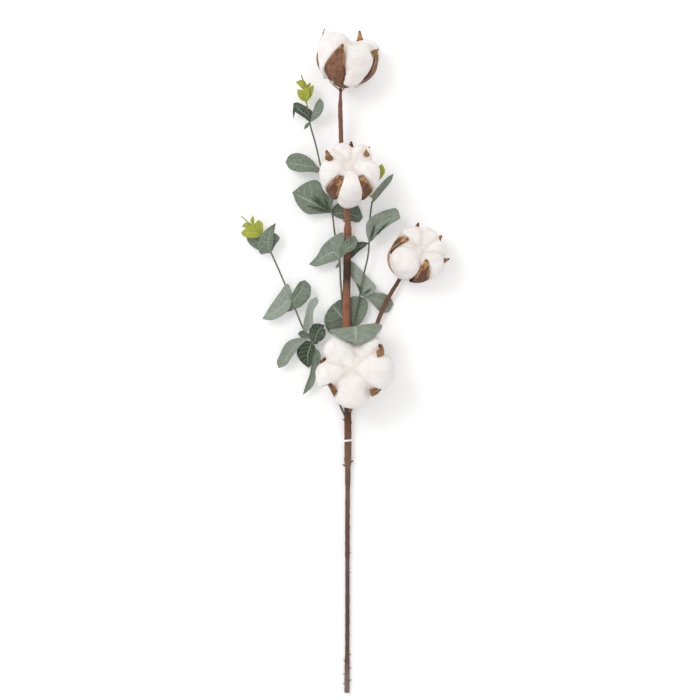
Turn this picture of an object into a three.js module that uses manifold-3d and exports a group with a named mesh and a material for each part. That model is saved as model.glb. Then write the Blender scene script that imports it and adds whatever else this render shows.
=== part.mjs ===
// Artificial cotton stem with eucalyptus leaves, 54 cm long, lying on a table.
// Millimetres, +Z up. The stem runs along +Y, its cut foot at the -Y end.
import * as THREE from 'three';
import { mergeVertices } from 'three/addons/utils/BufferGeometryUtils.js';
import Module from 'manifold-3d';

const wasm = await Module();
wasm.setup();

// Driving dimensions
const TOTAL_LENGTH = 540;
const FOOT = [1.5, -TOTAL_LENGTH / 2]; // the cut foot, from the middle of the bunch
const GAP = 0.3; // clearance between neighbouring pieces
const WIRE_RADIUS = 0.65; // leaf sprays
const BRANCH_RADIUS = 1.75; // paper-wrapped branch of a boll
const LEAF_THICKNESS = 0.7;
const SHOOT_THICKNESS = 0.8; // young leaves at the lime-green tips
const REST_CUT = 0.9; // depth of the flat spots where cotton rests on the table

// Colours
const TAPE_BROWN = 0x96604c;
const HUSK_BROWN = 0x7b5238;
const COTTON_WHITE = 0xf2eeea;
const LEAF_GREEN = 0x8d9f90;
const LIME_GREEN = 0xa3ad45;

const vector = ([x, y, z]) => new THREE.Vector3(x, y, z);

// A place given from the stem's foot, height above the table last
const fromFoot = ([x, y, z = 0]) => new THREE.Vector3(x + FOOT[0], y + FOOT[1], z);

// Closed geometry to solid, and back
function toSolid(geometry) {
  const bare = geometry.clone();
  bare.deleteAttribute('normal');
  bare.deleteAttribute('uv');
  const merged = mergeVertices(bare);
  return new wasm.Manifold(new wasm.Mesh({
    numProp: 3,
    vertProperties: new Float32Array(merged.attributes.position.array),
    triVerts: new Uint32Array(merged.index.array),
  }));
}

function toGeometry(solid) {
  const mesh = solid.getMesh();
  const geometry = new THREE.BufferGeometry();
  geometry.setAttribute('position', new THREE.BufferAttribute(mesh.vertProperties, 3));
  geometry.setIndex(new THREE.BufferAttribute(mesh.triVerts, 1));
  geometry.computeVertexNormals();
  return geometry;
}

const union = (solids) => solids.reduce((whole, solid) => whole.add(solid));
const without = (solid, cutters) => cutters.reduce((rest, cutter) => rest.subtract(cutter), solid);

// The largest connected body, so that no loose scrap is left after a cut
function mainBody(solid) {
  const bodies = solid.decompose();
  return bodies.reduce((best, body) => (body.volume() > best.volume() ? body : best));
}

// Every vertex of a geometry moved by a rule
function shaped(geometry, rule) {
  const position = geometry.attributes.position;
  const point = new THREE.Vector3();
  for (let i = 0; i < position.count; i += 1) {
    point.fromBufferAttribute(position, i);
    const moved = rule(point);
    position.setXYZ(i, moved.x, moved.y, moved.z);
  }
  return geometry;
}

// Straight-line reading of a list of [place, value] stops
function reading(stops, at) {
  const last = stops.length - 1;
  const upper = stops.findIndex(([place]) => place >= at);
  if (upper === 0) return stops[0][1];
  if (upper < 0) return stops[last][1];
  const [[from, low], [to, high]] = [stops[upper - 1], stops[upper]];
  return low + (high - low) * (at - from) / (to - from);
}

// Round bar along a smooth route, thick as radiusAt(share of length, point) says.
// Grow adds to it all round and at both ends.
function bar(route, radiusAt, sides, steps, grow = 0) {
  const curve = new THREE.CatmullRomCurve3(route, false, 'centripetal');
  const frames = curve.computeFrenetFrames(steps);
  return toSolid(shaped(new THREE.CylinderGeometry(1, 1, 1, sides, steps), (point) => {
    const share = Math.min(1, Math.max(0, point.y + 0.5));
    const step = Math.round(share * steps);
    const centre = curve.getPointAt(share);
    const radius = radiusAt(share, centre) + grow;
    if (step === 0) centre.addScaledVector(frames.tangents[step], -grow);
    if (step === steps) centre.addScaledVector(frames.tangents[step], grow);
    const across = frames.normals[step];
    const aside = new THREE.Vector3().crossVectors(across, frames.tangents[step]);
    return centre.addScaledVector(across, point.x * radius).addScaledVector(aside, point.z * radius);
  }));
}

// Thin closed piece between a front and a back face, each split into triangles alike.
// faces(along, across) gives the two points, with along in 0..1 and across in -1..1.
function skin(rows, columns, faces) {
  const width = columns + 1;
  const fronts = [];
  const backs = [];
  for (let row = 0; row <= rows; row += 1) {
    for (let column = 0; column <= columns; column += 1) {
      const [front, back] = faces(row / rows, column / columns * 2 - 1);
      fronts.push(front);
      backs.push(back);
    }
  }
  const count = fronts.length;
  const index = [];
  for (let row = 0; row < rows; row += 1) {
    for (let column = 0; column < columns; column += 1) {
      const a = row * width + column;
      const [b, c, d] = [a + width, a + width + 1, a + 1];
      index.push(a, b, c, a, c, d);
      index.push(count + a, count + c, count + b, count + a, count + d, count + c);
    }
  }
  const rim = [];
  for (let column = 0; column < columns; column += 1) rim.push(column);
  for (let row = 0; row < rows; row += 1) rim.push(row * width + columns);
  for (let column = columns; column > 0; column -= 1) rim.push(rows * width + column);
  for (let row = rows; row > 0; row -= 1) rim.push(row * width);
  rim.forEach((a, i) => {
    const b = rim[(i + 1) % rim.length];
    index.push(a, b, count + b, a, count + b, count + a);
  });
  const geometry = new THREE.BufferGeometry().setFromPoints([...fronts, ...backs]);
  geometry.setIndex(index);
  const corners = [...fronts, ...backs];
  let volume = 0;
  for (let i = 0; i < index.length; i += 3) {
    const [a, b, c] = [corners[index[i]], corners[index[i + 1]], corners[index[i + 2]]];
    volume += a.dot(new THREE.Vector3().crossVectors(b, c));
  }
  if (volume < 0) geometry.setIndex([...index].reverse());
  return toSolid(geometry);
}

// Everything below the table top, as a cutter
const TABLE_BLOCK = toSolid(new THREE.BoxGeometry(400, 800, 100).translate(0, 0, -50));

// Main stem: wire wrapped in paper tape, with a thick stretch that takes in the branches.
// Route points are [x, y, height] from the foot; thickness is read by distance from the foot.
const MAIN_ROUTE = [
  [0, 0, 2.15], [0.4, 60, 2.6], [0.4, 130, 3.4], [0.8, 205, 4.6], [0.4, 245, 5.4], [-0.4, 290, 7.4],
  [-0.4, 320, 7.8], [0.2, 350, 7.8], [0.5, 382, 6.8], [-2, 400, 6.6], [-4.5, 418, 6.8], [-4.6, 440, 9.5],
  [-4.9, 458, 14.5], [-5.4, 474, 20.5], [-5.2, 485, 24],
];
const MAIN_RADII = [
  [0, 2.15], [26, 2.1], [30, 1.8], [108, 1.8], [112, 1.95], [166, 1.95], [171, 2.25], [184, 2.25],
  [188, 2.95], [230, 2.85], [296, 3.1], [379, 3.2], [383, 2.1], [400, 1.9], [478, 1.8], [484, 1.3], [490, 1.2],
];
const MAIN_SIDES = 8;
const MAIN_STEPS = 42;

// Nubs of the tape along the stem: [distance from foot, side angle in degrees, length]
const NUBS = [
  [3, 20, 2], [9, 200, 1.6], [37, -20, 1.6], [189, 170, 2.2], [219, 10, 2.4], [330, 150, 2], [381, 30, 2.4],
  [455, 200, 1.4],
];

function mainStem(grow) {
  const route = [...MAIN_ROUTE.map(fromFoot), neck(BOLLS.boll_1)];
  const radiusAt = (share, centre) => reading(MAIN_RADII, centre.y - FOOT[1]);
  const stem = bar(route, radiusAt, MAIN_SIDES, MAIN_STEPS, grow);
  const curve = new THREE.CatmullRomCurve3(route, false, 'centripetal');
  const nubs = NUBS.map(([distance, side, length]) => {
    const centre = curve.getPointAt(distance / curve.getLength());
    const radius = reading(MAIN_RADII, distance);
    const angle = THREE.MathUtils.degToRad(side);
    const out = new THREE.Vector3(Math.cos(angle), 0.45, Math.sin(angle)).normalize();
    const end = centre.clone().addScaledVector(out, radius + length * 0.55);
    return bar([centre, end], (share) => length * (0.5 - 0.25 * share), 5, 1, grow);
  });
  return union([stem, ...nubs]);
}

// Bolls. Axis points from the stem end to the open mouth. Radius is across the axis, height is
// the half length along it, seat is how far out the valves stand, in radii. Azimuths are degrees
// about the axis from the photo's right-hand side. Each valve is [azimuth of its root, polar angle
// of its tip, half width in radii, thorn, how far it leans over by its tip, in degrees]. Each lock
// of cotton is [azimuth, half width in radii, size, how far back it sits along the axis].
const BOLLS = {
  boll_1: {
    centre: [0, 513.4, 27], axis: [0.225, 0.97, 0.06], radius: 26.2, height: 20.8, seat: 0.93, rests: true,
    valves: [[-121, 64, 0.36, 0.15, 16], [-10, 58, 0.36, 0.15], [57, 22, 0.29, 0.3, 7], [133, 56, 0.28],
      [180, 48, 0.36, 0.38]],
    locks: [[-148, 0.52, 1.04], [-58, 0.58, 0.86, 3], [25, 0.5], [105, 0.47, 0.98, 3], [160, 0.46]],
  },
  boll_2: {
    centre: [1.9, 418.4, 35.6], axis: [0.06, 0.46, 0.88], radius: 24.1, height: 24.2, seat: 0.87,
    valves: [[-42, 32, 0.27, 0.22, -12], [55, 60, 0.28, 0.34], [89, 58, 0.28, 0.26], [133, 70, 0.3, 0.28],
      [224, 32, 0.28, 0.22, 12]],
    locks: [[-89, 0.46, 1.05], [-14, 0.5], [58, 0.42], [114, 0.45], [188, 0.5]],
  },
  boll_3: {
    centre: [56, 354.7, 24], axis: [0.25, 0.3, 0.92], radius: 23.1, height: 20.5, seat: 0.9, rests: true,
    valves: [[-88, 24, 0.38, 0.22, 12], [-6, 70, 0.28, 0.28], [40, 58, 0.28, 0.3], [91, 70, 0.3, 0.3],
      [160, 37, 0.36, 0.22, -12]],
    locks: [[-42, 0.5], [14, 0.4], [62, 0.48], [118, 0.5], [216, 0.54, 1.06]],
  },
  boll_4: {
    centre: [7.4, 264.2, 32], axis: [-0.16, 0.05, 0.985], radius: 31.8, height: 23.5, seat: 0.82,
    valves: [[-46, 55, 0.22], [37, 65, 0.22], [85, 130, 0.22], [168, 62, 0.22], [221, 48, 0.22]],
    locks: [[-8, 0.49], [54, 0.42, 0.93, 7.5], [130, 0.48, 0.94, 6.7], [198, 0.43], [-98, 0.47]],
  },
};
const LOCK_DETAIL = 2;
const FULLNESS = 2.25; // 2 would make the locks plain eggs, more gives them shoulders
const TAPER = 0.18; // how much a lock swells from its middle to the mouth, and narrows to the stem
const VALVE_ROWS = 5;
const VALVE_COLUMNS = 2;
const VALVE_THICKNESS = 1.1;
const THORN = 0.22; // how far a valve's tip stands out past its seat, in boll radii
const VALVE_ROOT_POLAR = 166; // where a valve springs from the cup, in degrees from the mouth
const VALVE_OUTLINE = [[0, 0.4], [0.22, 0.8], [0.45, 1], [0.64, 0.86], [0.8, 0.55], [0.9, 0.34], [1, 0.06]];
const RIDGE = 2.6; // height of the inner ridge that reaches in between two locks
const CUP_RADIUS = 0.27; // in boll radii
const CUP_HEIGHT = 0.11;

// Right-handed directions of a boll: right, up and axis
function bollFrame({ axis }) {
  const mouth = vector(axis).normalize();
  const right = new THREE.Vector3(1, 0, 0).addScaledVector(mouth, -mouth.x).normalize();
  return new THREE.Matrix4().makeBasis(right, new THREE.Vector3().crossVectors(mouth, right), mouth);
}

const bollMatrix = (boll) => bollFrame(boll).setPosition(fromFoot(boll.centre));

// Distance from the boll's centre to its rounded outside, at a polar angle from the mouth
const envelope = ({ radius, height }, polar) => 1 / Math.hypot(Math.sin(polar) / radius, Math.cos(polar) / height);

function valve(boll, [azimuthDegrees, tipDegrees, halfWidth, thorn = THORN, lean = 0], grow, reach = 0) {
  const root = THREE.MathUtils.degToRad(VALVE_ROOT_POLAR);
  const tip = THREE.MathUtils.degToRad(tipDegrees);
  const matrix = bollMatrix(boll);
  return skin(VALVE_ROWS, VALVE_COLUMNS, (row, across) => {
    const along = reading([[0, 0], [0.15, 0.2], [0.7, 0.8], [0.86, 0.92], [1, 1]], row);
    const azimuth = THREE.MathUtils.degToRad(azimuthDegrees + lean * along);
    const aside = new THREE.Vector3(-Math.sin(azimuth), Math.cos(azimuth), 0);
    const polar = root + (tip - root) * along + (1 - 2 * along) * grow / boll.height;
    const out = new THREE.Vector3(
      Math.sin(polar) * Math.cos(azimuth),
      Math.sin(polar) * Math.sin(azimuth),
      Math.cos(polar),
    );
    const flare = thorn * boll.radius * Math.max(0, (along - 0.72) / 0.28) ** 1.6;
    const reached = envelope(boll, polar) * boll.seat + flare;
    const width = reading(VALVE_OUTLINE, along) * halfWidth * boll.radius + grow;
    const sag = (across * width) ** 2 / (2.2 * boll.radius);
    const ridge = RIDGE * (1 - Math.abs(across)) * Math.sin(Math.PI * Math.min(1, along * 1.05));
    const middle = out.clone().multiplyScalar(reached - sag).addScaledVector(aside, across * width);
    const half = VALVE_THICKNESS / 2;
    const front = middle.clone().addScaledVector(out, half + grow + reach);
    const back = middle.clone().addScaledVector(out, -half - Math.max(0, ridge) - grow);
    return [front.applyMatrix4(matrix), back.applyMatrix4(matrix)];
  });
}

function cup(boll, grow) {
  const radius = CUP_RADIUS * boll.radius + grow;
  const height = CUP_HEIGHT * boll.radius + grow;
  const ball = new THREE.SphereGeometry(1, 8, 4).rotateX(Math.PI / 2).scale(radius, radius, height);
  ball.translate(0, 0, -boll.height * boll.seat).applyMatrix4(bollMatrix(boll));
  return toSolid(ball);
}

const bur = (boll, grow) => union([cup(boll, grow), ...boll.valves.map((spec) => valve(boll, spec, grow))]);

// Where a boll's stem ends, just short of its cup
function neck(boll) {
  const depth = boll.height * boll.seat + CUP_HEIGHT * boll.radius + GAP;
  return new THREE.Vector3(0, 0, -depth).applyMatrix4(bollMatrix(boll));
}

// A point of the unit ball moved out, so that the ball has fuller shoulders
function plump(point) {
  const size = [point.x, point.y, point.z].reduce((sum, side) => sum + Math.abs(side) ** FULLNESS, 0);
  return point.clone().multiplyScalar(size ** (-1 / FULLNESS));
}

// One lock: an egg that is narrower at the stem end and leans out toward the mouth
function lock(boll, [azimuthDegrees, widthShare, full = 1, back = 0]) {
  const { radius, height } = boll;
  const azimuth = THREE.MathUtils.degToRad(azimuthDegrees);
  const matrix = bollMatrix(boll);
  const egg = new THREE.IcosahedronGeometry(1, LOCK_DETAIL);
  return toSolid(shaped(egg, (point) => {
    const { x, y, z } = plump(point);
    const swell = (1 + TAPER * z) * full;
    const outward = radius * 0.5 * (1 + TAPER * z) + x * radius * 0.48 * swell;
    const sideways = y * radius * widthShare * swell;
    return new THREE.Vector3(
      outward * Math.cos(azimuth) - sideways * Math.sin(azimuth),
      outward * Math.sin(azimuth) + sideways * Math.cos(azimuth),
      z * height * 0.97 * full - back,
    ).applyMatrix4(matrix);
  }));
}

function cotton(boll) {
  const locks = boll.locks.map((spec) => lock(boll, spec));
  const core = new THREE.IcosahedronGeometry(1, 1);
  core.scale(boll.radius * 0.46, boll.radius * 0.46, boll.height * 0.78).applyMatrix4(bollMatrix(boll));
  const behindValves = boll.valves.map((spec) => valve(boll, spec, GAP * 1.5, boll.radius * 0.5));
  return without(union([toSolid(core), ...locks]), [cup(boll, GAP), ...behindValves]);
}

// Branch stems of the bolls that leave the main stem: route from the main stem to the cup
const BRANCHES = {
  boll_2: [[0.6, 374, 9], [0.9, 386, 10.7], [1.4, 397, 11]],
  boll_3: [
    [1.5, 230, 2.6], [5, 241, 2.5], [10, 253, 2.5], [15, 269, 2.6], [19.5, 285, 3.2], [25, 302, 4.6],
    [31.5, 317.5, 6], [42, 335.5, 5.2],
  ],
  boll_4: [[1.6, 229, 5.8], [6, 239, 6.2], [9.4, 248, 5.6], [11, 256, 5.2]],
};

function branch(name, grow) {
  const route = [...BRANCHES[name].map(fromFoot), neck(BOLLS[name])];
  return bar(route, (share) => BRANCH_RADIUS - 0.3 * share, 7, route.length * 2, grow);
}

// Leaves: base and tip are [x, y, height] from the foot. Left and right are the edge on each
// side, from base to tip. Cup is how far the left and right edges stand above the middle, arch
// how far the middle of the leaf stands above the line from base to tip.
const SPRAYS = {
  spray_a: {
    wire: [
      [-32.6, 478.4, 14.6], [-30, 463, 12.5], [-25, 445, 11.5], [-21, 427, 10.5], [-16, 407.5, 8],
      [-12, 390.5, 5.6], [-10, 375, 7.4], [-6, 351, 9], [-5.2, 336, 8.6], [-4, 322, 8], [-2.5, 312, 7.8],
    ],
    leaves: [
      { base: [-30, 464, 12.8], tip: [-43.5, 480, 9], cup: [1.5, 2], arch: 1.5,
        left: [[-33.5, 467], [-36.5, 469], [-43, 474]], right: [[-27.5, 472], [-31.5, 476], [-40, 480.5]] },
      { base: [-30, 464, 12.8], tip: [-22, 484, 17], cup: [1, 1.5], arch: 1,
        left: [[-27.5, 474], [-25, 480]], right: [[-22.5, 469], [-19.5, 473.5], [-19, 480]] },
      { base: [-30, 464.5, 12.4], tip: [-35, 458.5, 11], cup: [0.3, 0.3], arch: 0.3,
        left: [[-31.5, 460.5]], right: [[-33.5, 463]] },
      { base: [-41.8, 480.6, 9.6], tip: [-43.4, 467, 8], cup: [0.3, 0.3], arch: 0.4,
        left: [[-44, 475]], right: [[-42, 474.5]] },
      { base: [-20.8, 426.5, 10.4], tip: [-50, 432, 9], cup: [1, 1.5], arch: 2,
        left: [[-23.5, 423.5], [-29, 424], [-39, 424], [-46.5, 426.5]],
        right: [[-24, 428.5], [-27.5, 433], [-32.5, 437], [-40.5, 439.5], [-47, 437.5]] },
      { base: [-12.6, 391, 5.8], tip: [-44.5, 407.5, 9], cup: [2, 2.5], arch: 2,
        left: [[-23.5, 390], [-32.5, 390], [-40, 397]],
        right: [[-15.5, 401], [-18, 409], [-24.5, 417.5], [-33.5, 415.5]] },
      { base: [-12.4, 391.5, 5.9], tip: [-15.5, 415.5, 12], cup: [1, 0.5], arch: 2,
        left: [[-18.5, 398], [-20.5, 407.5]], right: [[-11.5, 398.5], [-9.5, 407.5]] },
      { base: [-12.4, 390, 5.2], tip: [13, 387.5, 1.6], cup: [-0.3, 0], arch: -0.8,
        left: [[-12, 394], [-8, 398.5], [1, 400.5], [9, 397]], right: [[-7.5, 387], [2.5, 384.5], [9.5, 383.5]] },
      { base: [-6, 353, 9.4], tip: [-31, 349, 8], cup: [1, 2.5], arch: 1.5,
        left: [[-10.5, 351.5], [-18, 349], [-25, 347]],
        right: [[-2.5, 364.5], [-3, 375], [-10.5, 372], [-19.5, 364.5], [-24, 356.5]] },
      { base: [-6, 353, 9.4], tip: [9, 368, 13], cup: [0.5, 0.5], arch: 2,
        left: [[-5, 363], [0, 369.5], [5.5, 372.5]], right: [[0, 358], [6.5, 361.5]] },
      { base: [-5.9, 351, 9], tip: [-9.5, 346, 7.5], cup: [0.2, 0.2], arch: 0.2,
        left: [[-6.5, 347]], right: [[-8, 349]] },
    ],
  },
  spray_b: {
    wire: [
      [-67.5, 371, 12], [-61.5, 358, 11], [-55, 343.5, 9.5], [-50.5, 333, 8.6], [-45, 320, 8.2],
      [-40, 307.5, 8], [-35.5, 297, 8], [-29, 287.5, 8], [-24.5, 276, 7], [-9.5, 243, 4.4], [-1, 224, 5],
    ],
    leaves: [
      { base: [-61.5, 358.5, 10.6], tip: [-82, 373.5, 5], cup: [1, 1], arch: 1,
        left: [[-69, 359.5], [-76.5, 363], [-81, 368]], right: [[-68, 368.5], [-75.5, 375]] },
      { base: [-61.5, 358, 11.3], tip: [-57.5, 382.5, 16], cup: [1.5, 0.5], arch: 2,
        left: [[-65, 358], [-70, 357], [-72, 364], [-69, 373.5], [-62.5, 379.5]], right: [[-60, 364.5], [-59, 375]] },
      { base: [-61.3, 358.6, 11], tip: [-54.5, 370.5, 11.5], cup: [0.8, 0.8], arch: 0.6,
        left: [[-61, 369.5], [-59.5, 374.5], [-56, 372.5]], right: [[-58, 365], [-55.5, 368]] },
      { base: [-45, 319.5, 8.6], tip: [-69, 304.5, 9], cup: [1.5, 2.8], arch: 1.2,
        left: [[-47, 312.5], [-53, 307], [-61, 303.5]],
        right: [[-45, 327], [-48.5, 333.5], [-55, 325.5], [-62.5, 315]] },
      { base: [-45, 319, 8.4], tip: [-34, 336, 12], cup: [1.5, 1.5], arch: 1,
        left: [[-45.5, 322.5], [-41.5, 330.5], [-38, 335]],
        right: [[-41.5, 313], [-35, 316.5], [-30, 323], [-29.5, 331.5]] },
      { base: [-44.5, 318.5, 8.2], tip: [-49.5, 310, 6.5], cup: [0.4, 0.4], arch: 0.3,
        left: [[-43, 312.5]], right: [[-47, 316]] },
      { base: [-33, 293.5, 8.2], tip: [-24.5, 322.5, 15], cup: [2, 2], arch: 1.5,
        left: [[-35.5, 296.5], [-34, 307.5], [-30, 319.5]], right: [[-28, 299.5], [-27, 311], [-23, 319]] },
      { base: [-27.5, 284.5, 7.8], tip: [-18, 299.5, 8.5], cup: [0.8, 0.8], arch: 0.8,
        left: [[-31, 290.5], [-29, 299.5], [-23.5, 301]], right: [[-24.5, 284], [-21, 290.5]] },
      { base: [-30, 289, 8], tip: [-40, 292.5, 6.5], cup: [0.6, 0.6], arch: 0.5,
        left: [[-35.5, 288]], right: [[-33.5, 295], [-37.5, 295]] },
      { base: [-30.5, 289, 8.3], tip: [-55.5, 264.5, 8], cup: [1.5, 1.5], arch: 1.5,
        left: [[-38, 282.5], [-44, 274.5], [-49.5, 267]],
        right: [[-41.5, 289], [-49.5, 285], [-54.5, 276], [-57, 269.5]] },
      { base: [-28.2, 286, 8], tip: [-31.5, 265, 3], cup: [1.2, 1.2], arch: 1.5,
        left: [[-26, 280], [-27, 273], [-29, 267]], right: [[-34, 287], [-39, 282.5], [-41, 277.5], [-38, 270.5]] },
      { base: [-26.5, 281.5, 7.8], tip: [-36, 242.5, 6], cup: [1.4, 1.4], arch: 2,
        left: [[-24, 269.5], [-25, 259], [-27.5, 250]], right: [[-28.5, 269.5], [-30.5, 259], [-34, 249.5]] },
      { base: [-26.5, 282, 7.8], tip: [-23.5, 265, 10], cup: [0.5, 0.5], arch: 0.8,
        left: [[-22, 277.5], [-21.5, 271]], right: [[-26, 277.5], [-25, 270.5]] },
      { base: [-27.3, 284.5, 8], tip: [-17.8, 297, 11], cup: [0.4, 0.4], arch: 0.8,
        left: [[-23.2, 290.5], [-20.6, 295]], right: [[-20, 287.5], [-17.2, 292]] },
    ],
  },
  spray_c: {
    wire: [
      [20.6, 400.6, 12.5], [19.5, 393, 12], [18.5, 383.5, 11.4], [18, 367, 10], [17, 355, 9], [14, 342, 8.4],
      [10.5, 324, 7.6], [8, 310, 5.6], [5.9, 297, 4.6], [4.6, 289, 5], [2, 281, 6.5],
    ],
    leaves: [
      { base: [19.9, 397.6, 12.2], tip: [38, 422.5, 18], cup: [1.8, 1.8], arch: 1.5,
        left: [[22.5, 407.5], [27, 413.5], [33.5, 420]], right: [[26, 404], [30, 409], [36, 416.5]] },
      { base: [18, 366.5, 10.2], tip: [43.5, 386.5, 17], cup: [2, 1.5], arch: 2,
        left: [[15.5, 375], [16, 382.5], [21, 388], [33.5, 393.5], [40.5, 394]],
        right: [[21, 368.5], [27, 375], [35, 381], [42, 385]] },
      { base: [18, 366.5, 9.6], tip: [-1, 351, 1.4], cup: [0, 0], arch: -0.5,
        left: [[15.5, 364], [9, 359], [2.5, 353]], right: [[10.5, 367.5], [2.5, 364]] },
      { base: [10.6, 324.5, 7.6], tip: [0, 352.5, 1.2], cup: [-1.5, 2], arch: 0,
        left: [[8, 331.5], [4, 338.5], [0, 346]],
        right: [[17, 323.5], [22.5, 326.5], [23.5, 331.5], [19.5, 336], [11.5, 344.5], [5, 351]] },
      { base: [10.6, 324, 7.4], tip: [38, 316.5, 1.5], cup: [0.6, 0.6], arch: -0.4,
        left: [[17, 324.5], [22, 326], [30, 325.5], [35.5, 322]],
        right: [[17, 320.5], [22.5, 315], [27, 310.5], [33.5, 310]] },
      { base: [5.6, 295.6, 4.2], tip: [-12, 316, 2], cup: [0.5, -0.3], arch: -0.5,
        left: [[-4, 292], [-14, 293], [-18.5, 303], [-16, 311]], right: [[5.5, 305.5], [2.5, 316.5], [-5, 320.5]] },
      { base: [6, 296.6, 4.4], tip: [9.5, 323, 5.4], cup: [-1.5, 0.8], arch: 0,
        left: [[3, 302], [0.5, 313.5], [3.5, 322.5]], right: [[11.5, 301.5], [16.5, 311], [16, 320.5]] },
      { base: [5.9, 296.8, 4.1], tip: [7.5, 282.5, 49],
        spine: [[6.2, 297.2, 14], [6.6, 297.3, 26], [6.9, 295.6, 37], [7.2, 290.5, 45.3]],
        left: [[9, 297.1, 12], [14, 298.3, 21], [23.5, 301, 30], [28.5, 299, 36], [25, 292.5, 42],
          [18.5, 286.7, 46], [11, 284.8, 48.2]],
        right: [[2.5, 296.8, 12], [-3, 296.6, 20], [-9, 296.2, 28], [-14, 295, 35], [-9, 290.7, 41.5],
          [-1.5, 287, 46], [4, 285.6, 48.2]] },
    ],
  },
};
const LEAF_ROW_LENGTH = 8; // millimetres of leaf to a row of faces
const SMALL_LEAF = 14; // a leaf shorter than this is two faces wide, a longer one four

// Middle line of a leaf, arched between base and tip or led through its own points
function middleLine({ base, tip, spine, arch = 0 }) {
  const arched = fromFoot(base).lerp(fromFoot(tip), 0.5).add(new THREE.Vector3(0, 0, arch));
  const inner = spine ? spine.map(fromFoot) : [arched];
  return new THREE.CatmullRomCurve3([fromFoot(base), ...inner, fromFoot(tip)], false, 'centripetal');
}

// One edge of a leaf from base to tip; its points with no height stand above the middle by the rise
function edgeLine(leaf, middle, points, rise) {
  const inner = points.map(([x, y, z], i) => {
    const along = (i + 1) / (points.length + 1);
    const cupped = middle.getPoint(along).z + rise * Math.sin(Math.PI * along);
    return fromFoot([x, y, z ?? cupped]);
  });
  return new THREE.CatmullRomCurve3([fromFoot(leaf.base), ...inner, fromFoot(leaf.tip)], false, 'centripetal');
}

// The point between two edge points that is nearest to the midrib, kept off both edges
function between(from, to, midrib) {
  const width = to.clone().sub(from).setZ(0);
  const share = midrib.clone().sub(from).dot(width) / Math.max(width.lengthSq(), 0.01);
  return from.clone().lerp(to, Math.min(0.65, Math.max(0.35, share)));
}

function blade(leaf, thickness, grow) {
  const [leftRise, rightRise] = leaf.cup ?? [0, 0];
  const middle = middleLine(leaf);
  const left = edgeLine(leaf, middle, leaf.left, leftRise);
  const right = edgeLine(leaf, middle, leaf.right, rightRise);
  const blunt = 0.012; // share of the length left out at base and tip, where the edges meet
  const at = (share, across) => {
    const along = blunt + share * (1 - 2 * blunt);
    const [from, to] = [left.getPointAt(along), right.getPointAt(along)];
    const height = middle.getPointAt(along).z;
    const centre = between(from, to, middle.getPointAt(along)).setZ(height);
    const edge = across < 0 ? from : to;
    const bowl = centre.z + (edge.z - centre.z) * Math.abs(across) ** 1.6;
    return centre.lerp(edge, Math.abs(across)).setZ(bowl);
  };
  const nudge = 0.02;
  const length = fromFoot(leaf.base).distanceTo(fromFoot(leaf.tip));
  const rows = Math.max(3, Math.min(8, Math.round(length / LEAF_ROW_LENGTH)));
  return skin(rows, length < SMALL_LEAF ? 2 : 4, (along, across) => {
    const [low, high] = [Math.max(0, along - nudge), Math.min(1, along + nudge)];
    const lengthways = at(high, across * 0.9).sub(at(low, across * 0.9));
    const inside = Math.min(0.98, Math.max(0.02, along));
    const sideways = at(inside, 1).sub(at(inside, -1));
    const normal = new THREE.Vector3().crossVectors(sideways, lengthways).normalize();
    const point = at(along, across).addScaledVector(sideways.normalize(), across * grow);
    const half = thickness / 2 + grow;
    return [point.clone().addScaledVector(normal, half), point.addScaledVector(normal, -half)];
  });
}

function spray({ wire, leaves }, grow) {
  const route = wire.map(fromFoot);
  const stalk = bar(route, (share) => WIRE_RADIUS + 0.15 * share, 6, 15, grow);
  return union([stalk, ...leaves.map((leaf) => blade(leaf, LEAF_THICKNESS, grow))]);
}

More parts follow.
